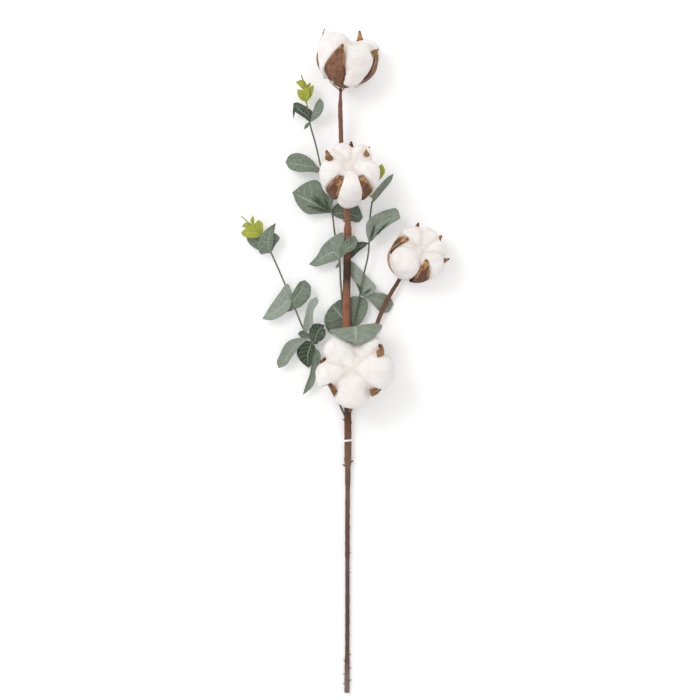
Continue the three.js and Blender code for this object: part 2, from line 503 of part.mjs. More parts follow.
// Lime-green tips: a short shoot on the end of each wire and its young leaves
const TIPS = {
  tip_a: {
    wire: [[-32.7, 478.9, 14.7], [-33.4, 487, 15.5], [-34.5, 494, 16], [-37, 502.5, 16.5]],
    leaves: [
      { base: [-33.6, 488.5, 15.4], tip: [-41.5, 497, 14], cup: [0.6, 0.6], arch: 1,
        left: [[-36.5, 491.5], [-40, 495]], right: [[-32.5, 493.5], [-34.5, 498], [-38, 498.5]] },
      { base: [-33, 480.6, 15], tip: [-40.5, 491, 12.5], cup: [0.5, 1], arch: 1,
        left: [[-37.5, 482.5], [-40, 486.5]], right: [[-33.5, 486.5], [-36.5, 490.5]] },
      { base: [-33, 480.4, 15.2], tip: [-33.5, 493.5, 19], cup: [0.4, 0.4], arch: 1,
        left: [[-35.5, 483], [-36, 489.5]], right: [[-30.5, 483], [-31, 490.5]] },
      { base: [-32.8, 480.5, 15], tip: [-27, 494.5, 15], cup: [0.8, 0.5], arch: 1,
        left: [[-32, 486.5], [-31, 492]], right: [[-29, 485], [-27, 490.5]] },
      { base: [-33.6, 490.5, 15.6], tip: [-29, 496.5, 14], cup: [0.2, 0.2], arch: 0.4,
        left: [[-32, 495]], right: [[-30.3, 493]] },
    ],
  },
  tip_b: {
    wire: [[-67.7, 371.4, 12.1], [-71.5, 376.5, 13.4], [-77, 380.5, 14], [-86, 388, 13]],
    leaves: [
      { base: [-76, 379.8, 13.8], tip: [-76.5, 389, 15], cup: [0.3, 0.3], arch: 0.4,
        left: [[-78.5, 384]], right: [[-75.2, 385.5]] },
      { base: [-76, 379.8, 13.8], tip: [-85.5, 379.5, 12], cup: [0.3, 0.3], arch: 0.6,
        left: [[-82, 378.6]], right: [[-82, 383]] },
      { base: [-68.6, 372.8, 12.6], tip: [-86, 375, 12], cup: [0.8, 1.2], arch: 1.6,
        left: [[-73, 370.5], [-80.5, 370.5], [-84.5, 372]], right: [[-69, 378.5], [-74.5, 382.5], [-81, 379]] },
      { base: [-68.6, 372.8, 12.8], tip: [-71.5, 385, 15.5], cup: [0.6, 0.6], arch: 1,
        left: [[-72.5, 376], [-74, 383]], right: [[-68, 377], [-68.5, 382.5]] },
    ],
  },
  tip_c: {
    wire: [[20.9, 401.8, 12.9], [22.5, 407, 13.2], [24.5, 414, 13.4], [26, 420, 13.6]],
    leaves: [
      { base: [25, 416, 13.5], tip: [28.5, 430.5, 14.5], cup: [0.6, 0.6], arch: 0.8,
        left: [[25, 423], [26, 428.5]], right: [[28.5, 419.5], [31, 424.5]] },
      { base: [21, 402.6, 13.2], tip: [19.5, 409, 15], cup: [0.4, 0.4], arch: 0.4,
        left: [[16.8, 405]], right: [[23.5, 405.5]] },
    ],
  },
};

function shoot({ wire, leaves }, grow) {
  const stalk = bar(wire.map(fromFoot), (share) => WIRE_RADIUS - 0.2 * share, 6, 4, grow);
  return union([stalk, ...leaves.map((leaf) => blade(leaf, SHOOT_THICKNESS, grow))]);
}

// The bunch
const bunch = new THREE.Group();

function addPiece(name, solid, colour, roughness) {
  const material = new THREE.MeshStandardMaterial({ color: colour, roughness, metalness: 0 });
  const mesh = new THREE.Mesh(toGeometry(mainBody(solid)), material);
  mesh.name = name;
  bunch.add(mesh);
}

for (const boll of Object.values(BOLLS)) {
  if (boll.rests) boll.centre[2] -= cotton(boll).boundingBox().min[2] + REST_CUT;
}
const stems = [mainStem(GAP)];
addPiece('main_stem', mainStem(0).subtract(TABLE_BLOCK), TAPE_BROWN, 0.8);
for (const name of Object.keys(BRANCHES)) {
  addPiece(`${name}_stem`, without(branch(name, 0), stems), TAPE_BROWN, 0.8);
  stems.push(branch(name, GAP));
}
for (const [name, boll] of Object.entries(BOLLS)) {
  addPiece(`${name}_bur`, without(bur(boll, 0), [...stems, TABLE_BLOCK]), HUSK_BROWN, 0.85);
}
const burs = Object.values(BOLLS).map((boll) => bur(boll, GAP));
const hard = [...stems, ...burs];
for (const [name, spec] of Object.entries(SPRAYS)) {
  addPiece(name, without(spray(spec, 0), hard), LEAF_GREEN, 0.9);
}
const sprays = Object.values(SPRAYS).map((spec) => spray(spec, GAP * 1.3));
for (const [name, spec] of Object.entries(TIPS)) {
  addPiece(name, without(shoot(spec, 0), [...hard, ...sprays]), LIME_GREEN, 0.7);
}
for (const [name, boll] of Object.entries(BOLLS)) {
  addPiece(`${name}_cotton`, without(cotton(boll), [...stems, ...sprays, TABLE_BLOCK]), COTTON_WHITE, 1);
}

export default bunch;
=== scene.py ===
"""Artificial cotton stem with eucalyptus leaves, lying on a pale table: its finished look."""

import math
from typing import NamedTuple

import bmesh
import bpy
import numpy as np
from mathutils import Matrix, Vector, noise


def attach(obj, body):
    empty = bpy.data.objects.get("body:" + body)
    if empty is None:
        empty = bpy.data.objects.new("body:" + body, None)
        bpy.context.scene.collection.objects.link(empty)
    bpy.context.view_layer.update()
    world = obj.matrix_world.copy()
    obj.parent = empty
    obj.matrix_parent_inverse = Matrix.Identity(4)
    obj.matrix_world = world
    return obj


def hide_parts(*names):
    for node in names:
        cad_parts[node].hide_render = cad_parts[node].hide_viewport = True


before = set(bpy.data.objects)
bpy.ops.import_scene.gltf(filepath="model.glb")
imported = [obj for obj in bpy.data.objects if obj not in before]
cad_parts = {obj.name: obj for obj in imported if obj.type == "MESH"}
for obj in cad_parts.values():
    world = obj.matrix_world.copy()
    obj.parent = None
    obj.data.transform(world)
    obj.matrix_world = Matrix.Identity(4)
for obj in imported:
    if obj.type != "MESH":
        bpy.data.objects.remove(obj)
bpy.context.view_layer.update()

# Driving dimensions, in millimetres. Branch stems and leaves differ a little from the solids.
MM = 0.001
TOTAL_LENGTH = 540
FOOT = np.array([1.5, -TOTAL_LENGTH / 2, 0.0])
UP = np.array([0, 0, 1.0])
WIRE_RADIUS = 0.65
BRANCH_RADIUS = 2.15
BRANCH_NARROWING = 0.6
LEAF_THICKNESS = 0.5
FLAP_THICKNESS = 0.7
GAP = 0.3
TABLE_CLEARANCE = 0.02

# Rounding of outlines, and how far a seed moves random lumps
CORNER_SHARE = 0.05
SEED_SHIFTS = (7.31, 3.17, 5.93)

# The photograph: its middle pixel lies over this point of the bunch
PHOTO_MIDDLE = np.array([4.0, 9.3])
PIXELS_ACROSS = 700
PIXEL = 0.812
PHOTO_WIDTH = PIXELS_ACROSS * PIXEL
PHOTO_PLANE = 15.0  # height above the table at which a pixel has that size
LENS = 200.0
SENSOR = 36.0


def from_foot(point):
    """A place given from the stem's foot, moved into the frame of the bunch."""
    x, y, *height = point
    return np.array([x, y, height[0] if height else 0.0]) + FOOT


def reading(stops, at):
    """Straight-line reading of a list of (place, value) stops."""
    places, values = zip(*stops)
    return np.interp(at, places, values)


def softened(stops, at):
    """The same, with corners that are rounded over a share of the list's length."""
    spread = (stops[-1][0] - stops[0][0]) * CORNER_SHARE
    return sum(reading(stops, at + spread * k) for k in (-1.2, -0.5, 0, 0.5, 1.2)) / 5


class Route:
    """Smooth line through points, read by its share of length."""

    def __init__(self, points, steps=24):
        points = [np.asarray(p, float) for p in points]
        ends = [2 * points[0] - points[1], *points, 2 * points[-1] - points[-2]]
        share = np.linspace(0, 1, steps + 1)[:-1, None]
        parts = [self.segment(*ends[i:i + 4], share) for i in range(len(points) - 1)]
        self.points = np.vstack([*parts, points[-1]])
        steps_long = np.linalg.norm(np.diff(self.points, axis=0), axis=1)
        self.places = np.concatenate([[0], np.cumsum(steps_long)])
        self.length = self.places[-1]

    @staticmethod
    def segment(before, start, end, after, t):
        first, middle, last = (
            max(np.linalg.norm(b - a), 1e-4) ** 0.5
            for a, b in ((before, start), (start, end), (end, after))
        )
        step = (end - start) / middle
        leaving = (start - before) / first - (end - before) / (first + middle) + step
        arriving = step - (after - start) / (middle + last) + (after - end) / last
        leaving, arriving = leaving * middle, arriving * middle
        square = -3 * start + 3 * end - 2 * leaving - arriving
        cube = 2 * start - 2 * end + leaving + arriving
        return start + leaving * t + square * t**2 + cube * t**3

    def at(self, share):
        places = np.clip(share, 0, 1) * self.length
        return np.stack([np.interp(places, self.places, line) for line in self.points.T], axis=-1)


def unit(vectors):
    return vectors / np.maximum(np.linalg.norm(vectors, axis=-1, keepdims=True), 1e-9)


def wander(points, size, seed):
    """Soft random height of each point, in -1..1, with lumps of the given size."""
    shift = Vector([seed * k for k in SEED_SHIFTS])
    return np.array([noise.noise(Vector(p) / size + shift) for p in points])


def add_object(name, data):
    thing = bpy.data.objects.new(name, data)
    bpy.context.collection.objects.link(thing)
    return thing


def add_mesh(name, points, faces):
    mesh = bpy.data.meshes.new(name)
    mesh.from_pydata(np.asarray(points).tolist(), [], faces)
    return mesh


def make_piece(name, node, points, faces, places, finish):
    """A mesh in the frame of the bunch, from millimetres. Its finish reads each point's place."""
    mesh = add_mesh(name, points * MM, faces)
    mesh.validate()
    mesh.polygons.foreach_set("use_smooth", [True] * len(mesh.polygons))
    place = mesh.attributes.new("place", "FLOAT_VECTOR", "POINT")
    place.data.foreach_set("vector", np.ravel(places))
    mesh.materials.append(finish)
    piece = add_object(name, mesh)
    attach(piece, "root")
    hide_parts(node)


def above_table(points):
    points[:, 2] = np.maximum(points[:, 2], TABLE_CLEARANCE)
    return points


class Parts:
    """Points, faces and places of several closed forms that make one piece."""

    def __init__(self):
        self.points, self.faces, self.places, self.count = [], [], [], 0

    def add(self, points, faces, places=()):
        self.points.append(points)
        self.places.append(places)
        self.faces.extend([tuple(i + self.count for i in face) for face in faces])
        self.count += len(points)

    def make(self, name, node, finish, slot):
        points, places = above_table(np.vstack(self.points)), np.vstack(self.places)
        make_piece(name, node, points, self.faces, places, finish)


def bar(route, radius_at, sides, steps, relief=None):
    """Round bar along a route. Relief gives the extra radius from the length so far and the angle.

    A place is the length so far, the turn round the bar and the distance from the stem's foot.
    """
    share = np.linspace(0, 1, steps + 1)
    centres = route.at(share)
    along = unit(np.gradient(centres, axis=0))
    across = np.empty_like(along)
    lead = np.cross(along[0], UP)
    for i, direction in enumerate(along):
        lead = unit(lead - direction * (lead @ direction))
        across[i] = lead
    beside = np.cross(along, across)
    turn = np.linspace(0, 2 * math.pi, sides, endpoint=False)
    radius = radius_at(share, centres)[:, None] * np.ones(sides)
    if relief is not None:
        radius = radius + relief(share[:, None] * route.length, turn[None, :], centres)
    cosine, sine = np.cos(turn)[None, :, None], np.sin(turn)[None, :, None]
    ring = across[:, None] * cosine + beside[:, None] * sine
    points = (centres[:, None] + ring * radius[..., None]).reshape(-1, 3)
    points = np.vstack([points, centres[0], centres[-1]])
    first, last = len(points) - 2, len(points) - 1
    faces = []
    for i in range(steps):
        for j in range(sides):
            a, b = i * sides + j, i * sides + (j + 1) % sides
            faces.append((a, b, b + sides, a + sides))
    for a in range(sides):
        b = (a + 1) % sides
        faces.append((first, b, a))
        faces.append((last, steps * sides + a, steps * sides + b))
    from_end = centres[:, 1] - FOOT[1]
    length, turns = share * route.length, turn / (2 * math.pi)
    places = [np.repeat(length, sides), np.tile(turns, steps + 1), np.repeat(from_end, sides)]
    ends = [[0, 0, from_end[0]], [route.length, 0, from_end[-1]]]
    return points, outward(points, faces), np.vstack([np.stack(places, axis=1), ends])


def outward(points, faces):
    """The faces, turned so that the closed form has its faces out."""
    volume = 0.0
    for face in faces:
        a = points[face[0]]
        for b, c in zip(face[1:-1], face[2:]):
            volume += a @ np.cross(points[b], points[c])
    return faces if volume > 0 else [tuple(reversed(face)) for face in faces]


def skin(front, back):
    """Closed thin form between two grids of points."""
    rows, columns = front.shape[:2]
    points = np.vstack([front.reshape(-1, 3), back.reshape(-1, 3)])
    count = rows * columns
    faces = []
    for i in range(rows - 1):
        for j in range(columns - 1):
            a = i * columns + j
            b, c, d = a + columns, a + columns + 1, a + 1
            faces.append((a, b, c, d))
            faces.append((count + a, count + d, count + c, count + b))
    rim = [*range(columns), *(i * columns + columns - 1 for i in range(1, rows))]
    rim += [(rows - 1) * columns + j for j in range(columns - 2, -1, -1)]
    rim += [i * columns for i in range(rows - 2, 0, -1)]
    for a, b in zip(rim, rim[1:] + rim[:1]):
        faces.append((a, b, count + b, count + a))
    return points, outward(points, faces)


class Leaf(NamedTuple):
    """A leaf or another thin blade, with its places given from the stem's foot.

    Tone runs from 0 for a dark leaf to 1 for a pale one; a blade of the husk has its code there.
    Cup is how far the left and the right edge stand above the middle, and arch how far the middle
    stands above the line from base to tip. Left and right are the edges from base to tip. Spine
    is the middle's own points, where an arch can't give its shape.
    """

    tone: float
    base: tuple
    tip: tuple
    cup: tuple
    arch: float
    left: list
    right: list
    spine: tuple = ()


# Main stem: places are [x, y, height] from the foot, radii are read by distance from the foot
MAIN_ROUTE = [
    [0, 0, 2.15], [0.4, 60, 2.6], [0.4, 130, 3.4], [0.8, 205, 4.6], [0.4, 245, 5.4],
    [-0.4, 290, 7.4], [-0.4, 320, 7.8], [0.2, 350, 7.8], [0.5, 382, 6.8], [-2, 400, 6.6],
    [-4.5, 418, 6.8], [-4.6, 440, 9.5], [-4.9, 458, 14.5], [-5.4, 474, 20.5], [-5.2, 485, 24],
]
MAIN_RADII = [
    (0, 2.15), (26, 2.1), (30, 1.8), (108, 1.8), (112, 1.95), (166, 1.95), (171, 2.25),
    (184, 2.25), (188, 2.95), (230, 2.85), (296, 3.1), (379, 3.2), (383, 2.1), (400, 1.9),
    (478, 1.8), (484, 1.3), (490, 1.2),
]
NUBS = [  # distance from the foot, side angle in degrees, length
    (3, 20, 2), (9, 200, 1.6), (37, -20, 1.6), (189, 170, 2.2), (219, 10, 2.4), (330, 150, 2),
    (381, 30, 2.4), (455, 200, 1.4),
]
FRAYS = [  # loose ends of the paper, given in the same way
    (6, 178, 2.2), (9, -4, 2.4), (14, 185, 2), (19, 4, 2.2), (25, 176, 1.8), (30, -2, 2),
    (46, 2, 1.5), (97, 0, 1.6), (113, 4, 1.8), (134, -2, 1.4), (187, -8, 3.2), (184, 186, 3.4),
    (221, 184, 2.6), (383, 178, 3), (385, 2, 2.6),
]
NUB_GIRTH, NUB_REACH = 0.5, 0.4  # radius and height above the stem, in shares of the length
FRAY_GIRTH, FRAY_REACH = 0.3, 0.8
BRANCHES = {
    "boll_2": [[0.6, 374, 9], [0.9, 386, 10.7], [1.4, 397, 11]],
    "boll_3": [
        [1.5, 230, 2.6], [5, 241, 2.5], [10, 253, 2.5], [15, 269, 2.6], [19.5, 285, 3.2],
        [25, 302, 4.6], [31.5, 317.5, 6], [42, 335.5, 5.2],
    ],
    "boll_4": [[1.6, 229, 5.8], [6, 239, 6.2], [9.4, 248, 5.6], [11, 256, 5.2]],
}
TAPE_PITCH = 8.5  # of one turn of the tape
TAPE_STEP = 0.16  # height of a turn's edge
TAPE_LUMP = 0.12
TAPE_LUMP_SIZE = 7.0
TAPE_SUNK = 0.05

# Codes that add up in a place's third number
RIM = 0.3  # husk valve with a darker rim
LINING = 1  # inner face of a husk valve
OLIVE = 2  # husk valve that is partly green
UNDERSIDE = 2  # of a leaf

THORN = 0.22  # how far the tip of a valve stands out, in radii of the boll

# Bolls: radius across the axis, half length along it and seat as in the solids. A valve is azimuth
# of its root and polar angle of its tip in degrees, half width and thorn in radii, and its lean in
# degrees. A lock is azimuth, half width in radii, size and how far it sits back in millimetres.
# Olive names the valves that are partly green. Broad is the power that fills out a valve's outline.
# Calyx, edge and flaps are thin trim of the husk.
BOLLS = {
    "boll_1": {
        "centre": [0, 513.4, 24.85], "axis": [0.225, 0.97, 0.06],
        "radius": 26.2, "height": 20.8, "seat": 0.93,
        "valves": [
            (-121, 64, 0.36, 0.15, 16), (-4, 58, 0.36, 0.15, -9), (57, 22, 0.32, 0.3, 7),
            (133, 56, 0.28, THORN, 0), (180, 48, 0.36, 0.38, 0),
        ],
        "locks": [
            (-148, 0.52, 1.04, 0), (-58, 0.58, 0.86, 3), (25, 0.5, 1, 0), (105, 0.47, 0.98, 3),
            (160, 0.46, 1, 0),
        ],
        "olive": [2],
        "calyx": [
            [(-4.8, 488, 26), (-6.4, 489.9, 27.5), (-10.8, 493.4, 30), (-13.6, 496.8, 32),
             (-15, 500.8, 33.5)],
            [(-4.8, 488, 26), (-2.4, 490.9, 28), (0.9, 492.6, 31)],
        ],
        "flaps": [
            Leaf(OLIVE + LINING, (16.2, 516.4, 41), (25.9, 522.7, 33.5), (0, 0), 1,
                 [(20.6, 520.6, 40)], [(22.6, 515.4, 38)]),
        ],
    },
    "boll_2": {
        "centre": [1.9, 418.4, 35.6], "axis": [0.06, 0.46, 0.88],
        "radius": 24.1, "height": 24.2, "seat": 0.87,
        "valves": [
            (-33, 32, 0.25, THORN, -21), (55, 66, 0.28, 0.34, 0), (89, 46, 0.3, 0.35, 0),
            (135, 72, 0.42, 0.3, 0), (214, 32, 0.27, THORN, 22),
        ],
        "locks": [
            (-89, 0.46, 1.05, 0), (-14, 0.5, 1, 0), (58, 0.42, 1, 0), (114, 0.45, 1, 0),
            (188, 0.5, 1, 0),
        ],
        "olive": [], "broad": 0.55, "rim": RIM,
        "flaps": [
            Leaf(LINING, (-14, 430.4, 56), (-15.4, 438.8, 54), (0, 0), 0.8,
                 [(-17.6, 432.8, 55)], [(-10.8, 432.6, 57)]),
            Leaf(LINING, (16, 434, 51.8), (15.3, 441, 51.5), (0, 0), 0.8,
                 [(13.4, 435.7, 53)], [(18.5, 435.2, 51.2)]),
        ],
    },
    "boll_3": {
        "centre": [56, 354.7, 21.39], "axis": [0.25, 0.3, 0.92],
        "radius": 23.1, "height": 20.5, "seat": 0.9,
        "valves": [
            (-88, 24, 0.31, THORN, 12), (-6, 70, 0.28, 0.28, 0), (40, 58, 0.28, 0.3, 0),
            (91, 70, 0.3, 0.3, 0), (160, 37, 0.3, THORN, -12),
        ],
        "locks": [
            (-42, 0.5, 1, 0), (14, 0.4, 1, 0), (62, 0.48, 1, 0), (118, 0.5, 1, 0),
            (216, 0.54, 1.06, 0),
        ],
        "olive": [4], "broad": 0.8, "rim": RIM,
        "edge": [
            (36.5, 362.5, 26), (34, 357.5, 26), (33.7, 352, 25.5), (35.2, 346.6, 25.5),
            (38.4, 342, 25), (43, 338.6, 23), (47.9, 336.6, 20),
        ],
    },
    "boll_4": {
        "centre": [7.4, 264.2, 32], "axis": [-0.16, 0.05, 0.985],
        "radius": 31.8, "height": 23.5, "seat": 0.82,
        "valves": [
            (-46, 54, 0.22, 0.28, 0), (38, 62, 0.22, 0.3, 0), (85, 130, 0.22, THORN, 0),
            (168, 62, 0.22, THORN, 0), (223, 42, 0.22, 0.38, 0),
        ],
        "locks": [
            (-8, 0.49, 1, 0), (54, 0.42, 0.93, 7.5), (130, 0.48, 0.94, 6.7), (198, 0.43, 1, 0),
            (-98, 0.47, 1, 0),
        ],
        "olive": [0], "broad": 0.6, "rim": RIM,
        "flaps": [
            Leaf(LINING, (-10.2, 241.2, 49.5), (-12.2, 252, 52), (0, 0), 0.8,
                 [(-13.6, 248.5, 50.5)], [(-8.1, 246.8, 53)]),
            Leaf(LINING, (24.5, 273.5, 54), (28.8, 281.5, 50.5), (0, 0), 0.8,
                 [(23.8, 278.5, 52)], [(29.5, 275.5, 52.5)]),
            Leaf(OLIVE + LINING, (25, 244, 48.5), (17.8, 247.5, 52.5), (0, 0), 0.8,
                 [(20.5, 242.8, 50.5)], [(22.5, 249, 51.5)]),
        ],
    },
}
VALVE_THICKNESS = 1.1
VALVE_ROOT_POLAR = 166
VALVE_OUTLINE = [
    (0, 0.4), (0.22, 0.8), (0.45, 1), (0.64, 0.86), (0.8, 0.55), (0.9, 0.34), (1, 0.06),
]
BROAD_BELOW = 45  # valves with tips nearer the mouth than this, in degrees, may be broad
FLARE_FROM = 0.72  # share of a valve's length from which it stands out
FLARE_POWER = 1.6
SAG = 2.2  # a valve's curve across, in radii of the boll
RIDGE = 2.6
RAGGED = 0.12  # share of a valve's width that its rim comes and goes
FOLD = 0.5
CALYX_RADIUS = 0.45
EDGE_RADIUS = 1.15
CUP_RADIUS = 0.27
CUP_HEIGHT = 0.11

# Cotton: a lock is an egg, squared by its fullness, which widens toward the mouth by its taper
FULLNESS = 2.25
TAPER = 0.18
LOCK_OUT = 0.5  # of the boll's radius, to a lock's middle
LOCK_DEPTH = 0.48
LOCK_HEIGHT = 0.97
CORE_WIDTH = 0.46
CORE_HEIGHT = 0.78
CREASE_DEPTH = 0.3
VOXEL = 0.75  # fineness of the cotton's surface
SMOOTHING = 5
LUMPS = [(0.8, 9.0), (0.2, 3.2), (0.1, 1.3)]  # height and size
VALVE_ROOM = 0.35  # between the cotton and a valve that presses on it
TIP_ROOM = 2.2  # the same, added at the valve's tip

# Relief of the leaves: waves along the edges and a groove over the middle
BLUNT = 0.006  # share of the length left off at either end
WAVE = 0.55
WAVE_SIZE = 9.0
GROOVE = 0.25
GROOVE_WIDTH = 0.1

# Narrow dark leaflets at the joints of two sprays: [base, tip]
SPRIG_WIDTH = 2.0
SPRIG_ARCH = 0.6
SPRIG_TONE = -0.45
SPRIGS = {
    "spray_a": [
        [(-13.5, 391.5, 8.2), (-30.6, 404.2, 13.6)], [(-13.5, 391.5, 8.2), (-32.9, 396.6, 12.8)],
        [(-15, 392.5, 8.2), (-18.2, 402.9, 11.5)], [(-19, 395.5, 10), (-27, 405.4, 13.4)],
    ],
    "spray_c": [
        [(18.6, 367.5, 12), (22.8, 381.7, 16.6)], [(19, 367.5, 12), (34.2, 383.8, 19.4)],
        [(18, 366.5, 11), (9, 365.5, 11)], [(12.8, 324, 10.5), (7.6, 334.5, 8.5)],
        [(12.8, 324, 10), (20, 329.5, 9)],
    ],
}

# Sprays and their young tips
WIRES = {
    "spray_a": [
        (-32.6, 478.4, 14.6), (-30, 463, 12.5), (-25, 445, 11.5), (-21, 427, 10.5), (-16, 407.5, 8),
        (-12, 390.5, 5.6), (-10, 375, 7.4), (-6, 351, 9), (-5.2, 336, 8.6), (-4, 322, 8),
        (-2.5, 312, 7.8),
    ],
    "spray_b": [
        (-67.5, 371, 12), (-61.5, 358, 11), (-55, 343.5, 9.5), (-50.5, 333, 8.6), (-45, 320, 8.2),
        (-40, 307.5, 8), (-35.5, 297, 8), (-29, 287.5, 8), (-24.5, 276, 7), (-9.5, 243, 4.4),
        (-1, 224, 5),
    ],
    "spray_c": [
        (20.6, 400.6, 12.5), (19.5, 393, 12), (18.5, 383.5, 11.4), (18, 367, 10), (17, 355, 9),
        (14, 342, 8.4), (10.5, 324, 7.6), (8, 310, 5.6), (5.9, 297, 4.6), (4.6, 289, 5),
        (2, 281, 6.5),
    ],
    "tip_a": [(-32.7, 478.9, 14.7), (-33.4, 487, 15.5), (-34.5, 494, 16), (-37, 502.5, 16.5)],
    "tip_b": [(-67.7, 371.4, 12.1), (-71.5, 376.5, 13.4), (-77, 380.5, 14), (-86, 388, 13)],
    "tip_c": [(20.9, 401.8, 12.9), (22.5, 407, 13.2), (24.5, 414, 13.4), (26, 420, 13.6)],
}
